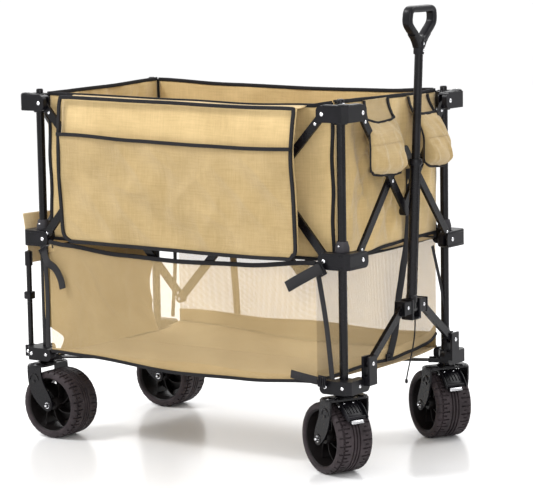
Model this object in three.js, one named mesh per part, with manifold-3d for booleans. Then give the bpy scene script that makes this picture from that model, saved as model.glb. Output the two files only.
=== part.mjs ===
// Double-deck folding utility wagon with a telescoping pull handle.
// Millimetres, +Z up, +X towards the handle, the near long side at -Y, floor at Z = 0.
import * as THREE from 'three';
import { mergeVertices } from 'three/addons/utils/BufferGeometryUtils.js';
import Module from 'manifold-3d';

const wasm = await Module();
wasm.setup();

// ---- driving dimensions -------------------------------------------------
const POST_X = 460; // post axes, half spacing along the wagon
const POST_Y = 235.5; // post axes, half spacing across it
const POST_R = 10.5;
const POST_BOTTOM = 206;
const POST_TOP = 893;
const KNOB_TOP = 900;
const PLAY = 0.3; // gap between touching pieces

const BRACKET_HEIGHT = 40;
const WING_ROUND = 13; // corner radius at the free ends of the bracket wings
const TOP_PIN_Z = 866;
const SLIDER_PIN_Z = 518;
const BOTTOM_BRACKET = [199, 232];
const PIN_INSET_X = 28; // link pins, inward of the post axis along X
const TOP_PIN_INSET_Y = 34.5;
const SLIDER_PIN_INSET_Y = 28.5;

const LINK_THICK = 8;
const LINK_WIDTH = 20;
const OUTER_LAYER = 31.5; // link mid-planes, outward of the post axis
const INNER_LAYER = 22;
const LONG_LINK_LOW_Z = 395; // where the long-side links meet at mid length
const LONG_STRUT_TOP = [277.2, 697.2];
const SHORT_LINK_LOW_Z = 610;
const SHORT_STRUT_TOP_Z = 762;

const WHEEL_R = 87.5;
const WHEEL_SIDES = 28;
const TREAD_HALF = 49;
const AXLE_R = 6;
const FRONT_TRAIL = 33;
const REAR_TRAIL = 42;
const CROWN_Z = 184;
const CROWN_THICK = 5;
const CROWN_HALF = [28, 60]; // along and across the caster
const LEG_THICK = 5;
const PEDAL_ARC = [0.5, 1.13]; // radians above the axle's height
const PEDAL_WIDTH = 58;
const FRONT_YAW = { near: -23, far: -31 }; // degrees the front casters are turned at rest

const BAR_WIDTH = 25;
const BAR_THICK = 5;
const BAR_PIN_REACH = 30; // bar pin, from the post axis along the floor diagonal
const BAR_LENGTH = 370;
const BAR_Z = 203.5;

const ARM_PLANE = 45; // lower arms, outward of the front posts
const ARM_LOW_PIN = [192.5, 267];
const ARM_HIGH_PIN = [46, 377];
const ARM_THICK = 10;
const PIVOT_X = 505; // handle pivot
const PIVOT_Z = 372;
const LEAN = THREE.MathUtils.degToRad(2.5);
const OUTER_TUBE_R = 12.7;
const OUTER_TOP = 366; // heights on the handle are from its pivot
const INNER_TUBE_R = 10;
const INNER_TUBE = [310, 648];
const GRIP_THICK = 26;
const BLOCK_HALF = 53; // handle block, half width
const CHEEK_HALF = 20;

const GATE_OUT = 50; // gate arms, outward of the rear posts
const GATE_SIDE = 4.5;
const GATE_PIN_Z = 216;
const GATE_TOP_Z = 470;
const GATE_ARM_R = 7;

const BASKET_X = 434; // upper basket, half length and half width
const BASKET_Y = 232;
const BASKET_Z = [515, 885];
const CLOTH = 3;
const END_WALL_X = 440;
const END_WALL_Y = 214;
const HEM = 5; // height of the cloth that carries the panel and the pouches over the links
const POUCH_CLOTH = 2.5;
const POUCH_X = 498;
const PANEL_Y = 276.5;
const PANEL_X = [-350, 366];
const PANEL_Z = 522;
const DECK_X = 412; // lower compartment
const DECK_Y = 276;
const DECK_Z = [212, 496];
const DECK_CLOTH = 2.5;

// ---- materials -------------------------------------------------------------
const finish = (color, roughness, metalness = 0) =>
  new THREE.MeshStandardMaterial({ color, roughness, metalness });
const PAINT = finish(0x17161a, 0.42, 0.6);
const PLASTIC = finish(0x1d1c22, 0.5);
const TYRE = finish(0x232025, 0.75);
const CANVAS = finish(0xcbb07c, 0.9);
const MESH = finish(0xd8c294, 0.95);
const CORD = finish(0x101012, 0.8);

// ---- solid helpers ------------------------------------------------------------
function toSolid(geometry) {
  const bare = geometry.clone();
  bare.deleteAttribute('normal');
  bare.deleteAttribute('uv');
  const merged = mergeVertices(bare, 1e-4);
  return new wasm.Manifold(new wasm.Mesh({
    numProp: 3,
    vertProperties: new Float32Array(merged.attributes.position.array),
    triVerts: new Uint32Array(merged.index.array),
  }));
}

function toGeometry(solid) {
  const mesh = solid.getMesh();
  const geometry = new THREE.BufferGeometry();
  geometry.setAttribute('position', new THREE.BufferAttribute(mesh.vertProperties, 3));
  geometry.setIndex(new THREE.BufferAttribute(mesh.triVerts, 1));
  geometry.computeVertexNormals();
  return geometry;
}

const join = (...geometries) =>
  toGeometry(geometries.map(toSolid).reduce((whole, next) => whole.add(next)));
const overlap = (a, b) => toGeometry(toSolid(a).intersect(toSolid(b)));
const cut = (geometry, ...tools) =>
  toGeometry(tools.map(toSolid).reduce((left, tool) => left.subtract(tool), toSolid(geometry)));

// Box from its lowest to its highest corner.
function block([x0, x1], [y0, y1], [z0, z1]) {
  const geometry = new THREE.BoxGeometry(x1 - x0, y1 - y0, z1 - z0);
  return geometry.translate((x0 + x1) / 2, (y0 + y1) / 2, (z0 + z1) / 2);
}

// Rod between two points.
function rod(from, to, radius, sides = 16) {
  const start = new THREE.Vector3(...from);
  const along = new THREE.Vector3(...to).sub(start);
  const geometry = new THREE.CylinderGeometry(radius, radius, along.length(), sides);
  geometry.translate(0, along.length() / 2, 0);
  const turn = new THREE.Quaternion().setFromUnitVectors(
    new THREE.Vector3(0, 1, 0), along.normalize());
  return geometry.applyQuaternion(turn).translate(...from);
}

// Plate drawn in a plane and thickened along Z.
function plate(points, [z0, z1]) {
  const shape = new THREE.Shape(points.map(([x, y]) => new THREE.Vector2(x, y)));
  const geometry = new THREE.ExtrudeGeometry(shape, { depth: z1 - z0, bevelEnabled: false });
  return geometry.translate(0, 0, z0);
}

// Flat bar with round ends, lying along +X from the origin and thickened along Z.
function flatLink(length, width, thick) {
  const half = width / 2;
  const shape = new THREE.Shape();
  shape.absarc(0, 0, half, Math.PI / 2, 1.5 * Math.PI, false);
  shape.absarc(length, 0, half, -Math.PI / 2, Math.PI / 2, false);
  const geometry = new THREE.ExtrudeGeometry(
    shape, { depth: thick, bevelEnabled: false, curveSegments: 6 });
  return geometry.translate(0, 0, -thick / 2);
}

const object = new THREE.Group();
function add(name, geometry, material, parent = object) {
  const mesh = new THREE.Mesh(geometry, material);
  mesh.name = name;
  parent.add(mesh);
  return mesh;
}

// ---- corners: posts, brackets and sliders ---------------------------------------
const CORNERS = [
  { name: 'near_front', sx: 1, sy: -1 },
  { name: 'near_rear', sx: -1, sy: -1 },
  { name: 'far_front', sx: 1, sy: 1 },
  { name: 'far_rear', sx: -1, sy: 1 },
];

// The same L-shaped footprint serves all three brackets of a corner: one wing for the long
// side's links and one for the end's links, joined round the post. u runs outward along X and
// v outward along Y from the post axis.
const OUTER_FACE = 40;
const WING_END = { u: -44, v: -52 };
const LONG_WING = [
  [WING_END.u, 14], [WING_END.u, OUTER_FACE], [28, OUTER_FACE], [OUTER_FACE, 28],
  [OUTER_FACE, -16], [-6, -16], [-16, -6], [-16, 14],
];
const SHORT_WING = [
  [14, WING_END.v], [14, OUTER_FACE], [28, OUTER_FACE], [OUTER_FACE, 28],
  [OUTER_FACE, WING_END.v],
];
const SLOT_SIDE = LINK_THICK / 2 + 0.6;
const BORE_R = POST_R + PLAY;

// Mirrors a shape from (u, v) into the corner's quadrant and moves it to the post.
const toCorner = (geometry, { sx, sy }) => toGeometry(
  toSolid(geometry).scale([sx, sy, 1]).translate([sx * POST_X, sy * POST_Y, 0]));

const layers = ({ sx, sy }) => ({
  longLink: sx > 0 ? OUTER_LAYER : INNER_LAYER,
  longStrut: sx > 0 ? INNER_LAYER : OUTER_LAYER,
  shortLink: sy < 0 ? OUTER_LAYER : INNER_LAYER,
  shortStrut: sy < 0 ? INNER_LAYER : OUTER_LAYER,
});

function post() {
  const outline = [
    [0, POST_BOTTOM], [POST_R, POST_BOTTOM], [POST_R, POST_TOP - 7], [9, POST_TOP - 5],
    [9, KNOB_TOP - 3], [7, KNOB_TOP], [0, KNOB_TOP],
  ].map(([r, z]) => new THREE.Vector2(r, z));
  return new THREE.LatheGeometry(outline, 20).rotateX(Math.PI / 2);
}

// Side outline of a wing: its free end at the given place has rounded corners.
function wingSide(end, [z0, z1]) {
  const shape = new THREE.Shape();
  shape.moveTo(OUTER_FACE, z0);
  shape.lineTo(OUTER_FACE, z1);
  shape.lineTo(end + WING_ROUND, z1);
  shape.absarc(end + WING_ROUND, z1 - WING_ROUND, WING_ROUND, Math.PI / 2, Math.PI, false);
  shape.absarc(end + WING_ROUND, z0 + WING_ROUND, WING_ROUND, Math.PI, 1.5 * Math.PI, false);
  return new THREE.ExtrudeGeometry(
    shape, { depth: 2 * POST_R * 6, bevelEnabled: false, curveSegments: 5 })
    .translate(0, 0, -6 * POST_R)
    .rotateX(Math.PI / 2);
}

function wings(z) {
  const long = overlap(plate(LONG_WING, z), wingSide(WING_END.u, z));
  const short = overlap(plate(SHORT_WING, z), wingSide(WING_END.v, z).rotateZ(Math.PI / 2));
  return join(long, short);
}

function bracket(z, slots) {
  const bore = rod([0, 0, z[0] - 1], [0, 0, z[1] + 1], BORE_R, 20);
  return cut(wings(z), bore, ...slots);
}

// Slots for the two links that a bracket holds, open towards low or high Z.
function linkSlots(longLayer, shortLayer, slotZ) {
  return [
    block([-46, -14.5], [longLayer - SLOT_SIDE, longLayer + SLOT_SIDE], slotZ),
    block([shortLayer - SLOT_SIDE, shortLayer + SLOT_SIDE], [-54, -16], slotZ),
  ];
}

function topBracket(corner) {
  const z = [TOP_PIN_Z - BRACKET_HEIGHT / 2, TOP_PIN_Z + BRACKET_HEIGHT / 2];
  const { longLink, shortLink } = layers(corner);
  return bracket(z, linkSlots(longLink, shortLink, [z[0] - 1, z[1] - 5]));
}

function slider(corner) {
  const z = [SLIDER_PIN_Z - BRACKET_HEIGHT / 2, SLIDER_PIN_Z + BRACKET_HEIGHT / 2];
  const { longStrut, shortStrut } = layers(corner);
  const body = bracket(z, linkSlots(longStrut, shortStrut, [z[0] + 5, z[1] + 1]));
  const [low, shoulder, top] = [z[1] - 2, z[1] + 12, z[1] + 24];
  const collar = new THREE.LatheGeometry([
    [BORE_R, low], [15.5, low], [15.5, shoulder], [13, top], [BORE_R, top], [BORE_R, low],
  ].map(([r, h]) => new THREE.Vector2(r, h)), 20).rotateX(Math.PI / 2);
  return join(body, collar);
}

// Direction of a floor bar from its post towards the middle of the floor, in (u, v).
const BAR_DIRECTION = new THREE.Vector2(-POST_X, -POST_Y).normalize();
const BAR_ANGLE = Math.atan2(BAR_DIRECTION.y, BAR_DIRECTION.x);

// Fork for the handle's lower arm, on a front bottom bracket.
function armEar([z0, z1]) {
  const slotHalf = ARM_THICK / 2 + 0.5;
  return {
    ear: block([ARM_PLANE - 12, ARM_PLANE + 11], [-60, -26], [z0 + 16, ARM_LOW_PIN[1] + 18]),
    slot: block(
      [ARM_PLANE - slotHalf, ARM_PLANE + slotHalf], [-62, -24], [z1 + 4, ARM_LOW_PIN[1] + 20]),
  };
}

// Fork for the gate arm, on a rear bottom bracket.
function gateEar([z0, z1]) {
  const slotHalf = GATE_ARM_R + 0.6;
  return {
    ear: block([38, GATE_OUT + 9], [GATE_SIDE - 13, GATE_SIDE + 13], [z0 + 4, z1]),
    slot: block([GATE_OUT - 8, GATE_OUT + 11], [GATE_SIDE - slotHalf, GATE_SIDE + slotHalf],
      [z0, z1 + 1]),
  };
}

function bottomBracket({ sx }) {
  const z = BOTTOM_BRACKET;
  const lugHalf = BAR_WIDTH / 2 + 5;
  const barHalf = BAR_WIDTH / 2 + 0.5;
  const lug = block([10, 42], [-lugHalf, lugHalf], [z[0], z[0] + 10]).rotateZ(BAR_ANGLE);
  const lugSlot = block([23, 44], [-barHalf, barHalf], [z[0] - 1, z[1] + 8]).rotateZ(BAR_ANGLE);
  const { ear, slot } = sx > 0 ? armEar(z) : gateEar(z);
  const bore = rod([0, 0, z[0] - 1], [0, 0, z[1] + 1], BORE_R, 20);
  return cut(join(wings(z), lug, ear), bore, lugSlot, slot);
}

for (const corner of CORNERS) {
  const { name, sx, sy } = corner;
  add(`post_${name}`, toGeometry(toSolid(post())), PAINT).position.set(sx * POST_X, sy * POST_Y, 0);
  add(`top_bracket_${name}`, toCorner(topBracket(corner), corner), PLASTIC);
  add(`slider_${name}`, toCorner(slider(corner), corner), PLASTIC);
  add(`bottom_bracket_${name}`, toCorner(bottomBracket(corner), corner), PLASTIC);
}

// ---- scissor links ------------------------------------------------------------------
// A link in a side frame, from its pin to its far end, both as [distance from mid, z].
function sideLink({ sx, sy }, layer, pin, end) {
  const run = [end[0] - pin[0], end[1] - pin[1]];
  const geometry = flatLink(Math.hypot(...run), LINK_WIDTH, LINK_THICK)
    .rotateX(Math.PI / 2)
    .rotateY(-Math.atan2(run[1], sx * run[0]));
  return geometry.translate(sx * pin[0], sy * (POST_Y + layer), pin[1]);
}

function endLink({ sx, sy }, layer, pin, end) {
  const run = [end[0] - pin[0], end[1] - pin[1]];
  const geometry = flatLink(Math.hypot(...run), LINK_WIDTH, LINK_THICK)
    .rotateX(Math.PI / 2)
    .rotateZ(Math.PI / 2)
    .rotateX(Math.atan2(run[1], sy * run[0]));
  return geometry.translate(sx * (POST_X + layer), sy * pin[0], pin[1]);
}

for (const corner of CORNERS) {
  const { name } = corner;
  const layer = layers(corner);
  const pinX = POST_X - PIN_INSET_X;
  const topY = POST_Y - TOP_PIN_INSET_Y;
  const sliderY = POST_Y - SLIDER_PIN_INSET_Y;
  add(`long_link_${name}`,
    sideLink(corner, layer.longLink, [pinX, TOP_PIN_Z], [0, LONG_LINK_LOW_Z]), PAINT);
  add(`long_strut_${name}`,
    sideLink(corner, layer.longStrut, [pinX, SLIDER_PIN_Z], LONG_STRUT_TOP), PAINT);
  add(`short_link_${name}`,
    endLink(corner, layer.shortLink, [topY, TOP_PIN_Z], [0, SHORT_LINK_LOW_Z]), PAINT);
  add(`short_strut_${name}`,
    endLink(corner, layer.shortStrut, [sliderY, SLIDER_PIN_Z], [0, SHORT_STRUT_TOP_Z]), PAINT);
}

// ---- floor bars ---------------------------------------------------------------------------
for (const corner of CORNERS) {
  const bar = block(
    [BAR_PIN_REACH - 4, BAR_PIN_REACH + BAR_LENGTH], [-BAR_WIDTH / 2, BAR_WIDTH / 2],
    [BAR_Z - BAR_THICK / 2, BAR_Z + BAR_THICK / 2]);
  add(`floor_bar_${corner.name}`, toCorner(bar.rotateZ(BAR_ANGLE), corner), PAINT);
}

// ---- casters ----------------------------------------------------------------------------------
// Moulded wheel with a deep dish on both sides. A flat of the tread faces the floor.
function wheel() {
  const tread = WHEEL_R / Math.cos(Math.PI / WHEEL_SIDES);
  const [hub, bore] = [15, AXLE_R + 0.5];
  const [web, hubEnd] = [7, 36];
  const half = [
    [bore, hubEnd], [hub, hubEnd], [hub, web], [60, web], [68, 43], [75.5, TREAD_HALF],
    [tread - 3.5, 46], [tread, 40],
  ];
  const mirrored = half.map(([r, y]) => [r, -y]);
  const outline = [half[0], ...mirrored, ...half.toReversed()];
  const points = outline.map(([r, y]) => new THREE.Vector2(r, y));
  return new THREE.LatheGeometry(points, WHEEL_SIDES).rotateY(Math.PI / WHEEL_SIDES);
}

// Fork with its swivel stem on the local Z axis and its axle behind it. Each leg drops from the
// crown and sweeps back to the axle.
function fork(trail) {
  const [along, across] = CROWN_HALF;
  const corner = along - 4;
  const outline = new THREE.Shape();
  outline.absarc(along - corner, across - corner, corner, 0, Math.PI / 2, false);
  outline.absarc(corner - along, across - corner, corner, Math.PI / 2, Math.PI, false);
  outline.absarc(corner - along, corner - across, corner, Math.PI, 1.5 * Math.PI, false);
  outline.absarc(along - corner, corner - across, corner, 1.5 * Math.PI, 2 * Math.PI, false);
  const crown = new THREE.ExtrudeGeometry(
    outline, { depth: CROWN_THICK, bevelEnabled: false, curveSegments: 5 })
    .translate(0, 0, CROWN_Z);
  const stem = rod([0, 0, CROWN_Z + 2], [0, 0, POST_BOTTOM - PLAY - 0.2], 9, 16);
  const top = CROWN_Z + 3;
  const side = new THREE.Shape();
  side.moveTo(21, top);
  side.bezierCurveTo(24, 140, 14, 100, -trail + 7, WHEEL_R - 13);
  side.absarc(-trail, WHEEL_R, 15, -1.1, Math.PI, true);
  side.bezierCurveTo(-trail - 14, 125, -21, 130, -21, top);
  const legs = [-1, 1].map((way) =>
    new THREE.ExtrudeGeometry(side, { depth: LEG_THICK, bevelEnabled: false, curveSegments: 9 })
      .translate(0, 0, -LEG_THICK / 2)
      .rotateX(Math.PI / 2)
      .translate(0, way * (TREAD_HALF + 4.5), 0));
  const axle = rod([-trail, -TREAD_HALF - 11, WHEEL_R], [-trail, TREAD_HALF + 11, WHEEL_R],
    AXLE_R, 16);
  return join(crown, stem, ...legs, axle);
}

// Brake pedal: a shoe that follows the tread, hung in front of the fork crown.
function brakePedal() {
  const [inner, outer] = [WHEEL_R + 7, WHEEL_R + 14];
  const [low, high] = PEDAL_ARC;
  const shape = new THREE.Shape();
  shape.absarc(0, 0, outer, low, high, false);
  shape.absarc(0, 0, inner, high, low, true);
  return new THREE.ExtrudeGeometry(
    shape, { depth: PEDAL_WIDTH, bevelEnabled: false, curveSegments: 8 })
    .translate(0, 0, -PEDAL_WIDTH / 2)
    .rotateX(Math.PI / 2)
    .translate(-FRONT_TRAIL, 0, WHEEL_R);
}

for (const { name, sx, sy } of CORNERS) {
  const front = sx > 0;
  const facing = front ? 1 : -1;
  const trail = front ? FRONT_TRAIL : REAR_TRAIL;
  const caster = new THREE.Group();
  caster.position.set(sx * POST_X, sy * POST_Y, 0);
  caster.rotation.z = front
    ? THREE.MathUtils.degToRad(sy < 0 ? FRONT_YAW.near : FRONT_YAW.far)
    : 0;
  object.add(caster);
  add(`fork_${name}`, toGeometry(toSolid(fork(trail)).scale([facing, 1, 1])), PAINT, caster);
  add(`wheel_${name}`, toGeometry(toSolid(wheel())), TYRE, caster)
    .position.set(-facing * trail, 0, WHEEL_R);
  if (front) add(`brake_pedal_${name}`, brakePedal(), PLASTIC, caster);
}

// ---- handle ---------------------------------------------------------------------------------------
const armLength = Math.hypot(
  ARM_LOW_PIN[0] - ARM_HIGH_PIN[0], ARM_HIGH_PIN[1] - ARM_LOW_PIN[1]);
for (const [name, sy] of [['near', -1], ['far', 1]]) {
  const arm = flatLink(armLength, LINK_WIDTH, ARM_THICK)
    .rotateX(Math.PI / 2)
    .rotateZ(Math.PI / 2)
    .rotateX(Math.atan2(ARM_LOW_PIN[1] - ARM_HIGH_PIN[1], sy * (ARM_LOW_PIN[0] - ARM_HIGH_PIN[0])))
    .translate(POST_X + ARM_PLANE, sy * ARM_HIGH_PIN[0], ARM_HIGH_PIN[1]);
  add(`lower_arm_${name}`, arm, PAINT);
}

// Cross block with a slot under each end for a lower arm, and cheeks round the handle's pivot.
function handleBlock() {
  const bar = block([PIVOT_X - 14, PIVOT_X + 14], [-BLOCK_HALF, BLOCK_HALF], [362, 394]);
  const cheeks = block([PIVOT_X - 17, PIVOT_X + 16], [-CHEEK_HALF, CHEEK_HALF], [346, 397]);
  const channelHalf = OUTER_TUBE_R + 0.6;
  const channel = block([PIVOT_X - 14, PIVOT_X + 20], [-channelHalf, channelHalf], [352, 400]);
  const slotHalf = ARM_THICK / 2 + 0.5;
  const slotTop = ARM_HIGH_PIN[1] + LINK_WIDTH / 2 + 1.4;
  const armSlots = [-1, 1].map((way) => block(
    [PIVOT_X - slotHalf, PIVOT_X + slotHalf], [way * 48 - 14, way * 48 + 14], [350, slotTop]));
  return cut(join(bar, cheeks), channel, ...armSlots);
}
add('handle_block', handleBlock(), PLASTIC);

// The telescoping handle is drawn upright from its pivot and then leaned.
const handle = new THREE.Group();
handle.position.set(PIVOT_X, 0, PIVOT_Z);
handle.rotation.y = LEAN;
object.add(handle);

function outerTube() {
  const body = join(
    rod([0, 0, 0], [0, 0, OUTER_TOP], OUTER_TUBE_R, 24),
    rod([0, -OUTER_TUBE_R, 0], [0, OUTER_TUBE_R, 0], OUTER_TUBE_R, 24),
    rod([0, 0, OUTER_TOP - 12], [0, 0, OUTER_TOP], OUTER_TUBE_R + 1.8, 24));
  return cut(body, rod([0, 0, 40], [0, 0, OUTER_TOP + 1], INNER_TUBE_R + 0.8, 20));
}

// D-grip: a neck that spreads to a straight hand bar, with a five-sided hole for the fingers.
function grip() {
  const outline = new THREE.Shape();
  outline.moveTo(-12.5, 624);
  outline.lineTo(-13.5, 646);
  outline.lineTo(-59, 687);
  outline.quadraticCurveTo(-62, 690, -62, 697);
  outline.lineTo(-62, 718);
  outline.quadraticCurveTo(-62, 742, -38, 742);
  outline.lineTo(38, 742);
  outline.quadraticCurveTo(62, 742, 62, 718);
  outline.lineTo(62, 697);
  outline.quadraticCurveTo(62, 690, 59, 687);
  outline.lineTo(13.5, 646);
  outline.lineTo(12.5, 624);
  const finger = new THREE.Path();
  finger.moveTo(-14, 667);
  finger.lineTo(14, 667);
  finger.quadraticCurveTo(18, 667, 21, 670);
  finger.lineTo(45, 692);
  finger.quadraticCurveTo(47, 694, 47, 698);
  finger.lineTo(47, 713);
  finger.quadraticCurveTo(47, 720, 40, 720);
  finger.lineTo(-40, 720);
  finger.quadraticCurveTo(-47, 720, -47, 713);
  finger.lineTo(-47, 698);
  finger.quadraticCurveTo(-47, 694, -45, 692);
  finger.lineTo(-21, 670);
  finger.quadraticCurveTo(-18, 667, -14, 667);
  outline.holes.push(finger);
  const body = new THREE.ExtrudeGeometry(
    outline, { depth: GRIP_THICK, bevelEnabled: false, curveSegments: 6 })
    .translate(0, 0, -GRIP_THICK / 2)
    .rotateX(Math.PI / 2)
    .rotateZ(Math.PI / 2);
  return cut(body, rod([0, 0, 616], [0, 0, INNER_TUBE[1] + PLAY], INNER_TUBE_R + PLAY, 20));
}

add('handle_outer_tube', outerTube(), PAINT, handle);
add('handle_inner_tube',
  rod([0, 0, INNER_TUBE[0]], [0, 0, INNER_TUBE[1]], INNER_TUBE_R, 20), PAINT, handle);
add('handle_grip', grip(), PLASTIC, handle);

// ---- rear gate arms ---------------------------------------------------------------------------------
for (const corner of CORNERS.filter(({ sx }) => sx < 0)) {
  const arm = join(
    rod([GATE_OUT, GATE_SIDE, GATE_PIN_Z], [GATE_OUT, GATE_SIDE, GATE_TOP_Z], GATE_ARM_R, 16),
    rod([GATE_OUT, GATE_SIDE - GATE_ARM_R, GATE_PIN_Z],
      [GATE_OUT, GATE_SIDE + GATE_ARM_R, GATE_PIN_Z], GATE_ARM_R, 16));
  add(`gate_arm_${corner.name.split('_')[0]}`, toCorner(arm, corner), PAINT);
}

// ---- upper basket ------------------------------------------------------------------------------------
// Two halves of one sewn basket, each a long wall with its half of the floor.
function basketHalf(sy) {
  const along = [-BASKET_X, BASKET_X];
  const across = (a, b) => [Math.min(sy * a, sy * b), Math.max(sy * a, sy * b)];
  const wall = block(along, across(BASKET_Y - CLOTH, BASKET_Y), BASKET_Z);
  const floor = block(along, across(PLAY, BASKET_Y - 1), [BASKET_Z[0], BASKET_Z[0] + CLOTH]);
  if (sy > 0) return join(wall, floor);
  const hem = block(PANEL_X, across(BASKET_Y - 1, PANEL_Y), [BASKET_Z[1] - HEM, BASKET_Z[1]]);
  const panel = block(PANEL_X, across(PANEL_Y - POUCH_CLOTH, PANEL_Y), [PANEL_Z, BASKET_Z[1]]);
  return join(wall, floor, hem, panel);
}
add('basket_near', basketHalf(-1), CANVAS);
add('basket_far', basketHalf(1), CANVAS);

// A cup pouch hangs from the hem outside the end links.
function pouch([y0, y1], [z0, z1], depth) {
  const [back, wall] = [POUCH_X, POUCH_CLOTH];
  const shell = block([back, back + depth], [y0, y1], [z0, z1]);
  const inside = block(
    [back + wall, back + depth - wall], [y0 + wall, y1 - wall], [z0 + wall, z1 + 1]);
  const hanger = block([back, back + wall], [y0, y1], [z1 - 1, BASKET_Z[1]]);
  const hem = block([END_WALL_X - 1, back + wall], [y0, y1], [BASKET_Z[1] - HEM, BASKET_Z[1]]);
  return join(cut(shell, inside), hanger, hem);
}
const endWall = (x0, x1) => block([x0, x1], [-END_WALL_Y, END_WALL_Y], BASKET_Z);
add('basket_front', join(
  endWall(END_WALL_X - CLOTH, END_WALL_X),
  pouch([-168, -24], [702, 830], 30),
  pouch([72, 180], [718, 838], 36)), CANVAS);
add('basket_rear', endWall(-END_WALL_X, CLOTH - END_WALL_X), CANVAS);

// ---- lower compartment --------------------------------------------------------------------------------
add('lower_compartment', cut(
  block([-DECK_X, DECK_X], [-DECK_Y, DECK_Y], DECK_Z),
  block([DECK_CLOTH - DECK_X, DECK_X - DECK_CLOTH], [DECK_CLOTH - DECK_Y, DECK_Y - DECK_CLOTH],
    [DECK_Z[0] + CLOTH, DECK_Z[1] + 1])), MESH);

// ---- pull cord ---------------------------------------------------------------------------------------------
const CORD_R = 1.75;
const CORD_ROUTE = [
  [513, 4, 345.6], [513, 3.8, 331], [512.6, 3, 316], [511.8, 1.6, 301], [510.6, -0.4, 286],
  [509, -3, 271], [507.2, -6, 256], [505.2, -9, 241], [503, -12, 226], [501, -14.6, 211],
  [499.4, -16.6, 197],
].map((point) => new THREE.Vector3(...point));

function cord(radius) {
  const ring = new THREE.Shape();
  ring.absarc(0, 0, radius, 0, 2 * Math.PI, false);
  return new THREE.ExtrudeGeometry(ring, {
    steps: 16,
    curveSegments: 4,
    bevelEnabled: false,
    extrudePath: new THREE.CatmullRomCurve3(CORD_ROUTE),
  });
}
add('pull_cord', toGeometry(toSolid(cord(CORD_R))), CORD);

// ---- origin at the middle of the footprint -------------------------------------------------------------------
object.updateMatrixWorld(true);
const box = new THREE.Box3().setFromObject(object, true);
object.position.set(-(box.min.x + box.max.x) / 2, -(box.min.y + box.max.y) / 2, 0);

export default object;
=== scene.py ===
import math

import bmesh
import bpy
from mathutils import Matrix, Vector, noise


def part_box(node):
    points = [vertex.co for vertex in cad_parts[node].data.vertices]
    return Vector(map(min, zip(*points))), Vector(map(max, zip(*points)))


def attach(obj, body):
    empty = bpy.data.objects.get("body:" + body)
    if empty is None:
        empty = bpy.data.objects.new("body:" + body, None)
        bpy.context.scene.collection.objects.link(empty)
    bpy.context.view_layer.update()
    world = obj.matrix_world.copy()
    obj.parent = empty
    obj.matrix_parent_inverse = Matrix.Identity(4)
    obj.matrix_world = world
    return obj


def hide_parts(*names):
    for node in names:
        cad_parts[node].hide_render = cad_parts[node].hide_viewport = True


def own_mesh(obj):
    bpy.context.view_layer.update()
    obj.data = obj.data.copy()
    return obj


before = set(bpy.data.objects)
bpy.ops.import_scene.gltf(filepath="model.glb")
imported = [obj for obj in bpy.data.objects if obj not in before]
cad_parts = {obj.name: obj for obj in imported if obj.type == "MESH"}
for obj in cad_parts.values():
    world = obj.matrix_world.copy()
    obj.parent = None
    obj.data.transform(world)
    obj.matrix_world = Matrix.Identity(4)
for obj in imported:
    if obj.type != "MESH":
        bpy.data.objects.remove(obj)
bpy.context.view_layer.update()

# Looks for the folding double-deck wagon. Lengths in this script are millimetres from the middle
# between the four posts, +X to the handle, +Y to the far side, +Z up; at() turns them into metres
# in the frame of the CAD model.
MM = 0.001
CORNERS = {
    "near_front": (1, -1), "near_rear": (-1, -1), "far_front": (1, 1), "far_rear": (-1, 1),
}


def middle(node):
    low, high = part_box(node)
    return (low + high) / 2


ORIGIN = (middle("post_near_front") + middle("post_far_rear")) / 2
ORIGIN.z = 0
POST_X, POST_Y = (abs(a) / MM for a in (middle("post_near_front") - ORIGIN).xy)
WHEEL_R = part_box("wheel_near_rear")[1].z / 2 / MM


def at(x, y, z):
    return Vector((ORIGIN.x + x * MM, ORIGIN.y + y * MM, z * MM))


# ---- camera --------------------------------------------------------------------------------------
def add_camera():
    yaw, pitch, roll = (math.radians(a) for a in (35.023, 7.657, -0.970))
    forward = Vector((
        -math.sin(yaw) * math.cos(pitch), math.cos(yaw) * math.cos(pitch), -math.sin(pitch)))
    level = Vector((math.cos(yaw), math.sin(yaw), 0))
    up = level.cross(forward)
    right = math.cos(roll) * level + math.sin(roll) * up
    top = right.cross(forward)
    data = bpy.data.cameras.new("camera")
    data.lens = 165.5
    data.sensor_width = 36
    data.clip_end = 100
    camera = bpy.data.objects.new("camera", data)
    camera.matrix_world = Matrix.Translation(at(3610.2, -5042.8, 1331.8)) @ Matrix(
        (right, top, -forward)).transposed().to_4x4()
    bpy.context.scene.collection.objects.link(camera)
    bpy.context.scene.camera = camera


# ---- shapes: each returns (points, faces, uvs), points in mm and uvs in metres -------------------
def join(*shapes):
    points, faces, uvs = [], [], []
    for p, f, u in shapes:
        start = len(points)
        points += p
        faces += [[i + start for i in face] for face in f]
        uvs += u
    return points, faces, uvs


def moved(shape, matrix):
    points, faces, uvs = shape
    if matrix.to_3x3().determinant() < 0:
        faces = [face[::-1] for face in faces]
    return [matrix @ Vector(p) for p in points], faces, uvs


def shifted(shape, place):
    return moved(shape, Matrix.Translation(place))


def placed(shape, place, angle, axis):
    return moved(shape, Matrix.Translation(place) @ Matrix.Rotation(angle, 4, axis))


def stand(shape, place, out):
    """A shape drawn along Z, put at place and turned to face along out."""
    turn = Vector(out).to_track_quat("Z", "Y").to_matrix().to_4x4()
    return moved(shape, Matrix.Translation(place) @ turn)


def polar(radius, angle):
    return radius * math.cos(angle), radius * math.sin(angle)


def drain(made):
    """The shape in a bmesh, which is freed."""
    made.verts.index_update()
    points = [v.co.copy() for v in made.verts]
    faces = [[v.index for v in f.verts] for f in made.faces]
    made.free()
    return points, faces, [((p.x + p.y) * MM, p.z * MM) for p in points]


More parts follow.
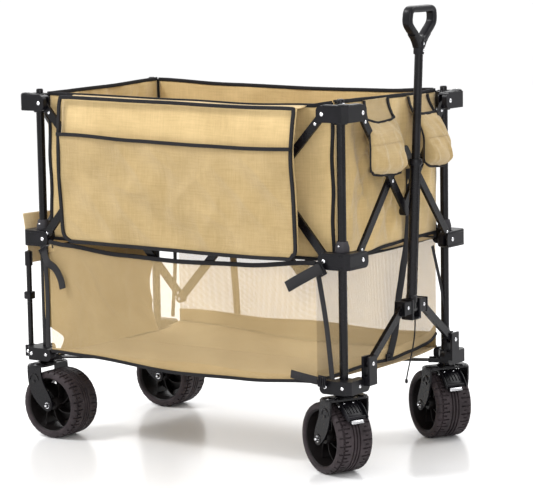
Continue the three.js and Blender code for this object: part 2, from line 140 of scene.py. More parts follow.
def ring_faces(n, m, closed):
    """Quads between m rings of n points each; the last ring joins the first if closed."""
    faces = []
    for i in range(m if closed else m - 1):
        a, b = i * n, (i + 1) % m * n
        faces += [[a + k, a + (k + 1) % n, b + (k + 1) % n, b + k] for k in range(n)]
    return faces


def rounded_box(low, high, radius=1.5, steps=2):
    low, high = Vector(low), Vector(high)
    made = bmesh.new()
    bmesh.ops.create_cube(made, size=1, matrix=Matrix.LocRotScale(
        (low + high) / 2, None, high - low))
    bmesh.ops.bevel(
        made, geom=made.edges[:], offset=radius, segments=steps, profile=0.5, affect="EDGES")
    return drain(made)


def plate(outline, z0, z1, radius=0.8):
    """A flat shape drawn in X and Y, from height z0 to z1, with eased edges."""
    made = bmesh.new()
    ring = [made.verts.new((x, y, z0)) for x, y in outline]
    face = made.faces.new(ring)
    grown = bmesh.ops.extrude_face_region(made, geom=[face])
    lifted = [g for g in grown["geom"] if isinstance(g, bmesh.types.BMVert)]
    bmesh.ops.translate(made, verts=lifted, vec=(0, 0, z1 - z0))
    bmesh.ops.recalc_face_normals(made, faces=made.faces[:])
    if radius:
        sharp = [e for e in made.edges if e.calc_face_angle(0) > 0.6]
        bmesh.ops.bevel(made, geom=sharp, offset=radius, segments=2, profile=0.5, affect="EDGES")
    return drain(made)


def lathe(profile, sides=32, closed=False):
    """A profile of (radius, z) turned about Z. It starts and ends on the axis, or it is closed."""
    points, faces, uvs = [], [], []
    for i in range(sides):
        angle = 2 * math.pi * i / sides
        for r, z in profile:
            points.append(Vector((*polar(r, angle), z)))
            uvs.append((angle * 0.02, z * MM))
    n = len(profile)
    for i in range(sides):
        a, b = i * n, (i + 1) % sides * n
        for j in range(n if closed else n - 1):
            k = (j + 1) % n
            faces.append([a + j, b + j, b + k, a + k])
    return points, faces, uvs


def curve(points, steps=6):
    """A smooth line through the points."""
    points = [Vector(p) for p in points]
    ends = [2 * points[0] - points[1], *points, 2 * points[-1] - points[-2]]
    line = []
    for a, b, c, d in zip(ends, ends[1:], ends[2:], ends[3:]):
        for i in range(steps):
            t = i / steps
            line.append(0.5 * (
                2 * b + (c - a) * t + (2 * a - 5 * b + 4 * c - d) * t * t
                + (3 * b - a - 3 * c + d) * t ** 3))
    return [*line, points[-1]]


def sweep(line, section, up, closed=False):
    """A section of (across, out) carried along a line. Out points along up, which is one for all
    points or a list with one for each."""
    ups = up if isinstance(up, list) else [up] * len(line)
    points, uvs = [], []
    length = 0
    for i, p in enumerate(line):
        before = line[i - 1] if i or closed else p
        after = line[(i + 1) % len(line)] if i + 1 < len(line) or closed else p
        along = (after - before).normalized()
        length += (p - line[i - 1]).length if i else 0
        side = along.cross(Vector(ups[i])).normalized()
        out = side.cross(along).normalized()
        for k, (a, o) in enumerate(section):
            points.append(p + side * a + out * o)
            uvs.append((length * MM, a * MM))
    n, m = len(section), len(line)
    faces = ring_faces(n, m, closed)
    if not closed:
        faces += [list(range(n))[::-1], [(m - 1) * n + k for k in range(n)]]
    return points, faces, uvs


def ring(radius, sides=10):
    return [polar(radius, 2 * math.pi * k / sides) for k in range(sides)]


def band(width, thick=1.4):
    """Section of a woven strap with soft edges."""
    w, t = width / 2, thick / 2
    return [(-w, -t * 0.4), (-w + 0.7, -t), (0, -t), (w - 0.7, -t), (w, -t * 0.4),
            (w, t * 0.4), (w - 0.7, t), (0, t), (-w + 0.7, t), (-w, t * 0.4)]


def grid(point, columns, rows, wide, tall):
    """A sheet from point(s, t), with s and t from 0 to 1. wide and tall are its size in metres."""
    points, uvs, faces = [], [], []
    for j in range(rows + 1):
        for i in range(columns + 1):
            s, t = i / columns, j / rows
            points.append(Vector(point(s, t)))
            uvs.append((s * wide, t * tall))
    for j in range(rows):
        for i in range(columns):
            a = j * (columns + 1) + i
            faces.append([a, a + 1, a + columns + 2, a + columns + 1])
    return points, faces, uvs


def rivet(place, out, radius=5, height=3):
    """A domed rivet head standing on place, facing along out."""
    profile = [(0, -1), (radius, -1), (radius, height * 0.3), (radius * 0.75, height * 0.75),
               (radius * 0.35, height), (0, height)]
    return stand(lathe(profile, 14), place, out)


def hex_bolt(place, out, radius=8, height=5):
    outline = [polar(radius, a * math.pi / 3) for a in range(6)]
    washer = lathe([(0, 0), (radius + 2, 0), (radius + 2, 1.2), (0, 1.2)], 24)
    tip = height + 4
    stud = lathe([(0, height), (3.4, height), (3.4, height + 3), (2.6, tip), (0, tip)], 12)
    return stand(join(washer, plate(outline, 1.2, height, 0.6), stud), place, out)


# ---- pieces --------------------------------------------------------------------------------------
def piece(name, shape, material, body, sharp=38):
    points, faces, uvs = shape
    made = bmesh.new()
    verts = [made.verts.new(at(*p)) for p in points]
    layer = made.loops.layers.uv.new("UVMap")
    for face in faces:
        corner = made.faces.new([verts[i] for i in face])
        for loop, i in zip(corner.loops, face):
            loop[layer].uv = uvs[i]
    bmesh.ops.remove_doubles(made, verts=made.verts[:], dist=1e-6)
    loose = [v for v in made.verts if not v.link_faces]
    bmesh.ops.delete(made, geom=loose, context="VERTS")
    bmesh.ops.recalc_face_normals(made, faces=made.faces[:])
    mesh = bpy.data.meshes.new(name)
    made.to_mesh(mesh)
    made.free()
    mesh.materials.append(material)
    mesh.shade_smooth()
    mesh.set_sharp_from_angle(angle=math.radians(sharp))
    obj = bpy.data.objects.new(name, mesh)
    bpy.context.scene.collection.objects.link(obj)
    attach(obj, body)
    return obj


def cloth(name, shape, material, body, thick=1.2):
    """A sheet of cloth with its thickness on both sides of the drawn surface."""
    obj = piece(name, shape, material, body, sharp=80)
    if not thick:
        return obj
    hem = obj.modifiers.new("cloth thickness", "SOLIDIFY")
    hem.thickness = thick * MM
    hem.offset = 0
    return obj


def fold_along(obj):
    """Cloth on a long side: it gets a mesh of its own."""
    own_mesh(obj)
    return obj


def fold_across(obj):
    """Cloth on an end: it gets a mesh of its own."""
    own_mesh(obj)
    return obj


def fold_down(obj):
    """A strap from the slider to the bottom bracket: it gets a mesh of its own."""
    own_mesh(obj)
    return obj


# ---- materials -----------------------------------------------------------------------------------
def set_inputs(target, values):
    for key, value in values.items():
        target.inputs[key].default_value = value


def material(name, roughness, metallic=0.0, sheen=0.0):
    made = bpy.data.materials.new(name)
    made.use_nodes = True
    shader = made.node_tree.nodes["Principled BSDF"]
    set_inputs(shader, {"Roughness": roughness, "Metallic": metallic, "Sheen Weight": sheen})
    return made, made.node_tree, shader


def node(tree, kind, **values):
    made = tree.nodes.new(kind)
    for key, value in values.items():
        setattr(made, key, value)
    return made


def noise_field(tree, vector, scale, detail=4, rough=0.55):
    made = node(tree, "ShaderNodeTexNoise")
    set_inputs(made, {"Scale": scale, "Detail": detail, "Roughness": rough})
    tree.links.new(vector, made.inputs["Vector"])
    return made.outputs["Fac"]


def math_node(tree, operation, a, b=None):
    made = node(tree, "ShaderNodeMath", operation=operation)
    for socket, value in zip(made.inputs, (a, b)):
        if value is None:
            continue
        if isinstance(value, (int, float)):
            socket.default_value = value
        else:
            tree.links.new(value, socket)
    return made.outputs[0]


def ramp(tree, factor, low, high, dark, light):
    made = node(tree, "ShaderNodeValToRGB")
    made.color_ramp.elements[0].position = low
    made.color_ramp.elements[1].position = high
    made.color_ramp.elements[0].color = (*dark, 1)
    made.color_ramp.elements[1].color = (*light, 1)
    tree.links.new(factor, made.inputs["Fac"])
    return made.outputs["Color"]


def bump(tree, shader, height, strength, distance):
    made = node(tree, "ShaderNodeBump")
    set_inputs(made, {"Strength": strength, "Distance": distance})
    tree.links.new(height, made.inputs["Height"])
    tree.links.new(made.outputs["Normal"], shader.inputs["Normal"])


def threads(tree, uv, pitch, wave):
    """One wave a pitch along U, and one along V."""
    split = node(tree, "ShaderNodeSeparateXYZ")
    tree.links.new(uv, split.inputs["Vector"])
    turn = 2 * math.pi / pitch
    return [math_node(tree, wave, math_node(tree, "MULTIPLY", split.outputs[k], turn))
            for k in (0, 1)]


def fabric(name, dark, light, pitch, roughness=0.85, sheen=0.25, depth=0.0004):
    made, tree, shader = material(name, roughness, sheen=sheen)
    shader.inputs["Specular IOR Level"].default_value = 0.25
    where = node(tree, "ShaderNodeTexCoord")
    # plain weave: threads along U and V that pass over and under each other
    weave = math_node(tree, "MULTIPLY", *threads(tree, where.outputs["UV"], pitch, "SINE"))
    blotch = noise_field(tree, where.outputs["Object"], 9, 6, 0.6)
    slubs = []
    for stretch in ((14, 260, 1), (260, 14, 1)):
        along = node(tree, "ShaderNodeMapping")
        along.inputs["Scale"].default_value = stretch
        tree.links.new(where.outputs["UV"], along.inputs["Vector"])
        slubs.append(noise_field(tree, along.outputs["Vector"], 1, 3, 0.7))
    slub = math_node(tree, "MULTIPLY", math_node(tree, "ADD", *slubs), 0.5)
    tone = math_node(tree, "ADD", math_node(tree, "MULTIPLY", blotch, 0.55),
                     math_node(tree, "MULTIPLY", weave, 0.06))
    tone = math_node(tree, "ADD", tone, math_node(tree, "MULTIPLY", slub, 0.62))
    tree.links.new(ramp(tree, tone, 0.38, 0.80, dark, light), shader.inputs["Base Color"])
    bump(tree, shader, math_node(tree, "ADD", weave, slub), 0.5, depth)
    return made


NET_PITCH = 0.0019  # metres from one hole to the next


def net_fabric():
    """Knitted polyester net: threads with square holes between them, soft at their edges."""
    made, tree, shader = material("net", 0.8, sheen=0.2)
    where = node(tree, "ShaderNodeTexCoord")
    high = math_node(tree, "MAXIMUM", *threads(tree, where.outputs["UV"], NET_PITCH, "COSINE"))
    cover = node(tree, "ShaderNodeMapRange")
    set_inputs(cover, {"From Min": 0.3, "From Max": 0.9, "To Min": 0.24, "To Max": 0.8})
    tree.links.new(high, cover.inputs["Value"])
    tree.links.new(cover.outputs["Result"], shader.inputs["Alpha"])
    blotch = noise_field(tree, where.outputs["Object"], 5, 4)
    tree.links.new(ramp(tree, blotch, 0.3, 0.75, (0.46, 0.325, 0.15), (0.58, 0.425, 0.21)),
                   shader.inputs["Base Color"])
    bump(tree, shader, high, 0.15, 0.0002)
    return made


WEAR = 0.25  # how much the roughness of a hard surface varies


def hard(name, dark, light, roughness, metallic=0.0, grain=900, depth=0.00008, shine=0.2):
    """Paint or moulded plastic: fine grain, uneven gloss and slightly rubbed patches."""
    made, tree, shader = material(name, roughness, metallic)
    shader.inputs["Specular IOR Level"].default_value = shine
    where = node(tree, "ShaderNodeTexCoord").outputs["Object"]
    rubbed = noise_field(tree, where, 22, 6, 0.7)
    fine = noise_field(tree, where, grain, 3)
    tree.links.new(ramp(tree, rubbed, 0.35, 0.8, dark, light), shader.inputs["Base Color"])
    uneven = math_node(tree, "MULTIPLY", rubbed, WEAR)
    uneven = math_node(tree, "ADD", uneven, roughness - WEAR / 2)
    tree.links.new(uneven, shader.inputs["Roughness"])
    bump(tree, shader, fine, 0.35, depth)
    return made


CANVAS = fabric("canvas", (0.43, 0.30, 0.125), (0.66, 0.485, 0.235), 0.0016)
LINING = fabric("canvas lining", (0.28, 0.19, 0.07), (0.43, 0.305, 0.135), 0.0016)
BINDING = fabric("binding", (0.004, 0.004, 0.005), (0.012, 0.011, 0.013), 0.0014, 0.7, 0.0, 0.0005)
WEBBING = fabric("webbing", (0.006, 0.006, 0.007), (0.018, 0.017, 0.019), 0.0030, 0.6, 0.02, 0.0008)
# The same canvas made darker: painted shade on the storage panel's pocket and on the pouches.
SHADED_CANVAS = fabric("canvas with painted shade", (0.30, 0.21, 0.085), (0.49, 0.355, 0.17), 0.0016)
# The same canvas made lighter: painted light on the gate flap, which sits in shade.
LIT_CANVAS = fabric("canvas with painted light", (0.62, 0.47, 0.25), (0.84, 0.68, 0.42), 0.0016)
NET = net_fabric()
PAINT = hard("black powder coat", (0.002, 0.0018, 0.0024), (0.006, 0.005, 0.007), 0.27, 0.0, 1400,
             shine=0.24)
PLASTIC = hard("black nylon", (0.0025, 0.0025, 0.0035), (0.008, 0.007, 0.010), 0.38, 0.0, 700,
               0.00012)
COLLAR = hard("grey collar", (0.030, 0.028, 0.032), (0.05, 0.047, 0.052), 0.5, 0.0, 700)
RUBBER = hard("tyre rubber", (0.018, 0.0135, 0.015), (0.052, 0.040, 0.044), 0.58, 0.0, 500, 0.0003)
RIM = hard("rim plastic", (0.004, 0.003, 0.003), (0.009, 0.007, 0.007), 0.45)
STEEL = hard("zinc plated steel", (0.62, 0.62, 0.64), (0.82, 0.82, 0.84), 0.25, 1.0, 1500, shine=0.5)
CORD = fabric("cord braid", (0.005, 0.005, 0.006), (0.014, 0.013, 0.015), 0.0012, 0.7, 0.0, 0.0003)


# ---- pull cord: the same route as in CAD ---------------------------------------------------------
CORD_ROUTE = [
    (513, 4, 345.6), (513, 3.8, 331), (512.6, 3, 316), (511.8, 1.6, 301), (510.6, -0.4, 286),
    (509, -3, 271), (507.2, -6, 256), (505.2, -9, 241), (503, -12, 226), (501, -14.6, 211),
    (499.4, -16.6, 197),
]
CORD_DIAMETER = 3.5


def pull_cord():
    line = curve(CORD_ROUTE, 3)
    cord = piece("cord", sweep(line, ring(CORD_DIAMETER / 2, 10), (0, 1, 0)),
                 CORD, "handle_block")
    bead = shifted(
        lathe([(0, -9), (2.6, -8.5), (3.8, -5), (3.8, -1), (2.4, 2.5), (0, 3)], 16), line[-1])
    bead = piece("cord_bead", bead, PLASTIC, "handle_block")
    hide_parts("pull_cord")


# ---- carried-over CAD nodes ----------------------------------------------------------------------
def finish_cad_nodes():
    soft_edges = {"post": 0.6, "long": 2.6, "short": 2.6, "floor": 1, "lower_arm": 2.6, "handle": 2,
                  "fork": 1.2, "gate": 1, "top": 2.2, "slider": 2.2, "bottom": 2.2}
    for name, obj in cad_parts.items():
        if obj.hide_render:
            continue
        plastic = name.startswith(("top_bracket", "slider", "bottom_bracket", "handle_block"))
        mesh = obj.data
        if "custom_normal" in mesh.attributes:
            mesh.attributes.remove(mesh.attributes["custom_normal"])
        mesh.materials.clear()
        mesh.materials.append(PLASTIC if plastic else PAINT)
        mesh.shade_smooth()
        weld = obj.modifiers.new("weld", "WELD")
        weld.merge_threshold = 1e-5
        easing = obj.modifiers.new("eased edges", "BEVEL")
        width = next(w for start, w in soft_edges.items() if name.startswith(start))
        easing.width = width * MM
        easing.segments = 2
        easing.limit_method = "ANGLE"
        easing.angle_limit = math.radians(35)
        easing.harden_normals = False
        obj.modifiers.new("flat faces stay flat", "WEIGHTED_NORMAL")


# ---- wheels --------------------------------------------------------------------------------------
BLOCKS = 26  # tread blocks round the tyre
# Where in a block's span the tread is sampled. Each block has a long slot and a short one.
PHASES = [0, 0.03, 0.07, 0.23, 0.27, 0.40, 0.53, 0.57, 0.70, 0.74, 0.87]
TREAD_OUTLINE = [  # across the tyre from the middle: (y, radius)
    (0, 83.6), (1.5, 83.6), (2.3, 87.5), (6.4, 87.5), (7.2, 83.6), (9.8, 83.6), (10.6, 87.5),
    (16.5, 87.5), (17.5, 87.5), (24, 87.4), (25, 87.4), (33, 87.2), (34, 87.2), (40, 86.6), (44, 85),
    (46.8, 81.8), (48.5, 77.5), (49, 74.5), (48.6, 72), (46.4, 70), (45, 69.4),
]


SLOT_DEPTH, SLOT_FLOOR = 4.6, 84.5  # depth of the slots, and the radius above which they are cut


def slot_share(y, phase):
    """How much of a slot is cut at y, from 0 to 1. Where y < 0, the tread is half a block on."""
    if y < 0:
        phase = (phase + 0.5) % 1
    long, short = 0.06 < phase < 0.24, 0.56 < phase < 0.71
    if long and 17 <= abs(y) <= 45:
        return 1.0
    if short and 24.5 <= abs(y) <= 33.5:
        return 1.0
    return 0.8 if 33.6 < abs(y) < 34.4 and not long else 0.0


def tyre_shape():
    outline = [(-y, r) for y, r in TREAD_OUTLINE[:0:-1]] + TREAD_OUTLINE
    profile = outline + [(40, 68.6), (-40, 68.6)]
    phases = sorted({*PHASES, *((p + 0.5) % 1 for p in PHASES)})
    points, uvs = [], []
    for block in range(BLOCKS):
        for phase in phases:
            angle = 2 * math.pi * (block + phase) / BLOCKS
            for y, r in profile:
                r -= SLOT_DEPTH * slot_share(y, phase) if r > SLOT_FLOOR else 0
                points.append(Vector((r * math.cos(angle), y, r * math.sin(angle))))
                uvs.append((angle * 0.08, y * MM))
    return points, ring_faces(len(profile), BLOCKS * len(phases), True), uvs


SPOKES = 7


def rim_shape():
    """Barrel with a rolled lip, hub, a web with openings near the barrel, and thin curved spokes."""
    flat = Matrix.Rotation(math.pi / 2, 4, "X")  # turns the lathe axis from Z to Y
    barrel = lathe([
        (69.6, -44), (71.2, -42), (69.2, -38), (69, 38), (71.2, 42), (69.6, 44), (67.4, 42.4),
        (63, 20), (60, 0), (63, -20), (67.4, -42.4)], 72, closed=True)
    hub = lathe([
        (7, -36), (13.6, -36), (15.5, -33), (17, 0), (15.5, 33), (13.6, 36), (7, 36)], 32, closed=True)
    web = lathe([(16, -2.5), (47, -2), (49, 0), (47, 2), (16, 2.5)], 60, closed=True)
    parts = [moved(s, flat) for s in (barrel, hub, web)]
    for k in range(SPOKES):
        turn = Matrix.Rotation(k * 2 * math.pi / SPOKES, 4, "Y")
        line = [Vector((r * math.cos(0.013 * (r - 14)), 0, r * math.sin(0.013 * (r - 14))))
                for r in (14, 22, 31, 40, 49, 57, 62)]
        spoke = sweep(line, [(24, 1.1), (-24, 1.1), (-24, -1.1), (24, -1.1)],
                      [p.cross(Vector((0, 1, 0))) for p in line])
        parts.append(moved(spoke, turn))
    return join(*parts)


def caster_place(name):
    """Matrix from a caster's own frame (axle along Y, centre of the wheel at 0) to the wagon."""
    sx, sy = CORNERS[name]
    centre = (middle(f"wheel_{name}") - ORIGIN) / MM
    crown = Vector((sx * POST_X, sy * POST_Y))
    yaw = math.atan2(crown.y - centre.y, crown.x - centre.x)
    if sx < 0:
        yaw += math.pi
    return Matrix.Translation(centre) @ Matrix.Rotation(yaw, 4, "Z")


def wheel(name):
    place = caster_place(name)
    body = f"wheel_{name}"
    tyre = piece(f"tyre_{name}", moved(tyre_shape(), place), RUBBER, body, sharp=30)
    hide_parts(body)
    piece(f"rim_{name}", moved(rim_shape(), place), RIM, body, sharp=40)


# ---- casters: bolts, crown and pedal -------------------------------------------------------------
LEG_OUT = 56.3  # outer faces of the fork's legs
CROWN_Z = 189


def caster(name):
    front = CORNERS[name][0] > 0
    facing = 1 if front else -1
    body = f"caster_{name}" if front else f"corner_{name}"
    place = caster_place(name)
    trail = 33 if front else -42
    top = CROWN_Z - WHEEL_R
    bolts = [hex_bolt((0, way * LEG_OUT, 0), (0, way, 0), 6.4, 3.6) for way in (-1, 1)]
    bolts += [rivet((trail + facing * 8, way * 50, top), (0, 0, 1), 3.2, 1.6) for way in (-1, 1)]
    king_pin = shifted(lathe([(10, 0), (13, 0), (13, 2.4), (10, 2.4)], 28, True),
                       (trail, 0, top + 7.4))
    piece(f"axle_bolts_{name}", moved(join(*bolts, king_pin), place), STEEL, body)
    parts = [shifted(lathe([(9.6, 0), (24, 0), (24, 2), (19, 4), (17, 7), (9.6, 7)], 32, True),
                     (trail, 0, top))]
    for way in (-1, 1):  # raised crown lobes, and the arched rib with a dimple on each leg
        lobe = lathe([(0, 0), (17, 0), (15.5, 2), (9, 3), (0, 3.2)], 28)
        parts.append(moved(lobe, Matrix.Translation((trail, way * 40, top)) @ Matrix.Scale(
            1.3, 4, (1, 0, 0))))
        arch = [Vector((trail + 14 * math.sin(a), way * LEG_OUT, 62 + 17 * math.cos(a)))
                for a in (-1.5 + 3 * k / 14 for k in range(15))]
        parts.append(sweep(arch, ring(2.1, 8), (0, way, 0)))
        for disc, x, z in (
                (lathe([(0, -1), (4.4, -1), (4.4, 0.8), (3, 1.6), (0, 1.7)], 18), trail, 60),
                (lathe([(8, -0.5), (13.5, -0.5), (12.5, 1.6), (8, 1.6)], 30, True), 0, 0)):
            parts.append(placed(disc, (x, way * LEG_OUT, z), -way * math.pi / 2, "X"))
    piece(f"crown_{name}", moved(join(*parts), place), PAINT, body)
    if front:
        pedal(name, place)


HOOD_R = 103  # outer radius of the pedal's hood, from the axle


def round_axle(radius, y, angle):
    x, z = polar(radius, angle)
    return x, y, z


def pedal(name, place):
    """Brake pedal: a hood over the tread between side plates, a rolled lip and a bright strip."""
    body = f"brake_pedal_{name}"
    upright = Matrix.Rotation(math.pi / 2, 4, "X")
    arc = [0.62 + 0.51 * k / 8 for k in range(9)]
    hood = [polar(HOOD_R, a) for a in arc] + [polar(94.8, a) for a in reversed(arc)]
    shoe = moved(plate(hood, -27, 27, 1.4), upright)
    tongue = [polar(101, a) for a in (0.46, 0.53, 0.6)] + [polar(96, a) for a in (0.6, 0.53, 0.46)]
    parts = [shoe, moved(plate(tongue, -19, 19, 0.8), upright)]
    lip = [Vector(round_axle(104, y, 0.61)) for y in (-27, -14, 0, 14, 27)]
    parts.append(sweep(lip, ring(4, 10), (1, 0, 0)))
    for way in (-1, 1):
        outline = [(44, 84), (41, 90), (47, 94), (62, 91), (78, 79), (94, 60), (92, 52), (80, 58),
                   (62, 74)]
        parts.append(moved(plate(outline, way * 27.4 - 1.6, way * 27.4 + 1.6, 0.8), upright))
    for y in (-18, -9, 0, 9, 18):
        rib = rounded_box((-0.9, y - 1.1, -11), (1.8, y + 1.1, 11), 0.5, 1)
        parts.append(placed(rib, round_axle(HOOD_R, 0, 0.84), -0.84, "Y"))
    lever = piece(f"pedal_{name}", moved(join(*parts), place), PLASTIC, body)
    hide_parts(body)
    edge = placed(rounded_box((-1.6, -17, -4.4), (2.6, 17, 4.4), 1.2),
                  round_axle(101, 0, 0.50), -0.50, "Y")
    pins = [rivet(round_axle(103.2, y, 1.05), round_axle(1, 0, 1.05), 3, 1.8) for y in (-13, 13)]
    pins += [rivet((52, way * 28.8, 84), (0, way, 0), 3.4, 2) for way in (-1, 1)]
    piece(f"pedal_edge_{name}", moved(join(edge, *pins), place), STEEL, body)


# ---- brackets: pin heads, caps and collars -------------------------------------------------------
OUTER_FACE = 40.0  # outer faces of the brackets, outward of the post
PIN_X, TOP_PIN_Y, SLIDER_PIN_Y = 28, 34.5, 28.5
TOP_Z, SLIDER_Z = 866, 518


def corner_point(name, u, v, z):
    """A point from the post axis: u outward along X, v outward along Y."""
    sx, sy = CORNERS[name]
    return Vector((sx * (POST_X + u), sy * (POST_Y + v), z))


def at_post(shape, name):
    return shifted(shape, corner_point(name, 0, 0, 0))


def at_corner(shape, name):
    """Puts a shape, drawn round the post axis with its outward sides along +X and +Y, at a corner."""
    sx, sy = CORNERS[name]
    return moved(shape, Matrix.Translation((sx * POST_X, sy * POST_Y, 0)) @ Matrix.Diagonal(
        (sx, sy, 1, 1)))


def bracket_pins(name, z, inset_y):
    sx, sy = CORNERS[name]
    return [rivet(corner_point(name, -PIN_X, OUTER_FACE, z), (0, sy, 0), 5.2, 3.2),
            rivet(corner_point(name, OUTER_FACE, -inset_y, z), (sx, 0, 0), 5.2, 3.2)]


def corner_details(name):
    sx, sy = CORNERS[name]
    corner = f"corner_{name}"
    cap = shifted(lathe([(0, 0), (13.5, 0), (13.5, 3), (10, 5), (0, 6)], 28),
                  corner_point(name, 24, 24, 885.5))
    gusset = plate([(-28, 17), (-28, 37), (25, 37), (37, 25), (37, -36), (17, -36), (17, -14),
                    (12, 12), (-14, 17)], 0, 3.2, 1.2)
    top = at_corner(shifted(gusset, (0, 0, 884.6)), name)
    band_top = at_post(
        lathe([(11.2, 840), (16, 840), (17, 843), (17, 849), (11.2, 849)], 32, True), name)
    piece(f"top_cap_{name}", join(top, cap, band_top), PLASTIC, corner)
    pins = bracket_pins(name, TOP_Z, TOP_PIN_Y)
    pins.append(rivet(corner_point(name, 24, 24, 891), (0, 0, 1), 3.2, 1.6))
    piece(f"top_pins_{name}", join(*pins), STEEL, corner)

    slider = f"slider_{name}"
    collar = lathe([(10.9, 538), (17.5, 538), (17.5, 548), (13.4, 563), (10.9, 563)], 32, True)
    piece(f"collar_{name}", at_post(collar, name), COLLAR, slider)
    barrel = lathe([(11.2, 494), (15, 494), (17.5, 498), (17.5, 504), (11.2, 504)], 32, True)
    ribs = [rounded_box((-36, 39.4, z - 1.2), (26, 41.2, z + 1.2), 0.6) for z in (503, 533)]
    ribs += [rounded_box((39.4, -44, z - 1.2), (41.2, 26, z + 1.2), 0.6) for z in (503, 533)]
    ribs = at_corner(join(*ribs), name)
    piece(f"slider_ribs_{name}", join(at_post(barrel, name), ribs), PLASTIC, slider)
    pins = bracket_pins(name, SLIDER_Z, SLIDER_PIN_Y)
    pins.append(rivet(corner_point(name, 0, 16.4, 552), (0, sy, 0), 3, 1.6))
    piece(f"slider_pins_{name}", join(*pins), STEEL, slider)

    pins = [rivet(corner_point(name, -28, OUTER_FACE, 216), (0, sy, 0), 4.6, 2.6),
            rivet(corner_point(name, 20, OUTER_FACE, 216), (0, sy, 0), 4.6, 2.6),
            rivet(corner_point(name, OUTER_FACE, -8, 216), (sx, 0, 0), 4.6, 2.6)]
    if sx > 0:
        pins.append(rivet(corner_point(name, 56, -43, 267), (1, 0, 0), 5, 3))
    else:
        pins += [rivet(corner_point(name, 50, 4.5 + way * 13, 216), (0, sy * way, 0), 4.6, 2.6)
                 for way in (-1, 1)]
    piece(f"bottom_pins_{name}", join(*pins), STEEL, corner)


# ---- rivets on the links -------------------------------------------------------------------------
LAYER_IN, LAYER_OUT = 22, 31.5  # middles of the two layers of links, outward of the posts' axes
LINK_HALF = 4


def link_rivets():
    for name, (sx, sy) in CORNERS.items():
        long_link, long_strut = (LAYER_OUT, LAYER_IN) if sx > 0 else (LAYER_IN, LAYER_OUT)
        short_link, short_strut = (LAYER_OUT, LAYER_IN) if sy < 0 else (LAYER_IN, LAYER_OUT)
        v_pin = (0, 395) if sx > 0 else (10, 406)
        for part, layer, spots in (
                ("long_link", long_link, ((410, 842), (277.2, 697.2), v_pin)),
                ("long_strut", long_strut, ((420, 532),)),
                ("short_link", short_link, ((64, 691), (183, 843))),
                ("short_strut", short_strut, ((190, 538),))):
            if part.startswith("long"):
                out = sy * (POST_Y + layer + LINK_HALF)
                heads = [rivet((sx * x, out, z), (0, sy, 0), 4.2, 2.2) for x, z in spots]
            else:
                out = sx * (POST_X + layer + LINK_HALF)
                heads = [rivet((out, sy * y, z), (sx, 0, 0), 4.2, 2.2) for y, z in spots]
            piece(f"{part}_rivets_{name}", join(*heads), STEEL, f"{part}_{name}")


# ---- upper basket --------------------------------------------------------------------------------
def between(knots, x):
    """Smooth height along a rim or hem, from knots of (place, height)."""
    for (a, za), (b, zb) in zip(knots, knots[1:]):
        if x <= b:
            t = max(0, min(1, (x - a) / (b - a)))
            return za + (zb - za) * t * t * (3 - 2 * t)
    return knots[-1][1]


def across(half, s):
    """Place at the share s of a width that runs from -half to half."""
    return -half + 2 * half * s


RIM_NEAR = [(-432, 889), (-380, 887), (0, 882), (200, 878), (380, 882), (432, 890)]
RIM_FAR = [(-432, 895), (-200, 887), (100, 883), (300, 884), (432, 890)]
RIM_FRONT = [(-231, 892), (-150, 890), (0, 888), (150, 886), (231, 889)]
RIM_REAR = [(-231, 888), (0, 890), (231, 896)]
BASE_FRONT = [(-231, 508), (-120, 515), (0, 525), (120, 530), (231, 531)]
BASE_REAR = [(-231, 516), (231, 516)]
WALL_X, WALL_Y, END_X = 432, 230.5, 438
END_HALF = 229  # half the width of the end walls' tapes
FLOOR_Z = 516


def fold_noise(a, b, seed, wide=110, tall=420):
    """Soft folds that run mostly up and down."""
    return noise.noise(Vector((a / wide, b / tall, seed))) + 0.5 * noise.noise(
        Vector((a / wide * 2.3 + b / tall, b / tall * 1.7, seed + 9)))


def long_wall(side, rim):
    def point(s, t):
        x = across(WALL_X, s)
        z = FLOOR_Z + (between(rim, x) - FLOOR_Z) * t
        slack = math.sin(math.pi * s) ** 0.5 * math.sin(math.pi * t) ** 0.6
        ridge = 1 - 5 * abs(noise.noise(Vector(((x + 0.5 * z) / 105, z / 300, 5 + side))))
        return x, side * (WALL_Y + slack * (1 + 7 * fold_noise(x, z, side * 3.1) - 5 * ridge)), z
    return grid(point, 90, 34, 2 * WALL_X * MM, 0.37)


def end_wall(end, rim, base):
    def point(s, t):
        y = across(WALL_Y, s)
        low = between(base, y)
        z = low + (between(rim, y) - low) * t
        slack = math.sin(math.pi * s) ** 0.4 * math.sin(math.pi * t) ** 0.5
        ridge = 1 - 5 * abs(noise.noise(Vector(((y + 0.25 * z) / 62, z / 330, 33 + end))))
        small = 1 - 5 * abs(noise.noise(Vector(((y - 0.35 * z) / 34, z / 150, 41 + end))))
        folds = 15 * fold_noise(y, z, 20 + end, 70, 420) + 10 * ridge + 4 * small
        return end * (END_X + slack * folds), y, z
    return grid(point, 72, 40, 2 * WALL_Y * MM, 0.37)


OVERLAP = 8  # how far each half of a floor reaches past the middle seam
FLOOR_LAP = 2.6  # one half lies this much over its drawn height, the other as much under it
FLOOR_SAG = 3


def half_floor(side, z, half_x, half_y, seed, hem=None):
    """Half of a floor; its outer edge follows the hem, where there is one."""
    def point(s, t):
        x = across(half_x, s)
        y = side * (half_y * t - OVERLAP * (1 - t))
        sag = math.sin(math.pi * s) * (1 - t ** 3)
        edge = (between(hem, x) + 2 - z) * t ** 4 if hem else 0
        return x, y, z - side * FLOOR_LAP - sag * FLOOR_SAG + edge + 0.7 * noise.noise(
            Vector((x / 90, y / 60, seed))) * sag
    return grid(point, 60, 18, 2 * half_x * MM, half_y * MM)


def tape(name, line, body, width, thick, up):
    return piece(name, sweep(line, band(width, thick), up), BINDING, body, 50)


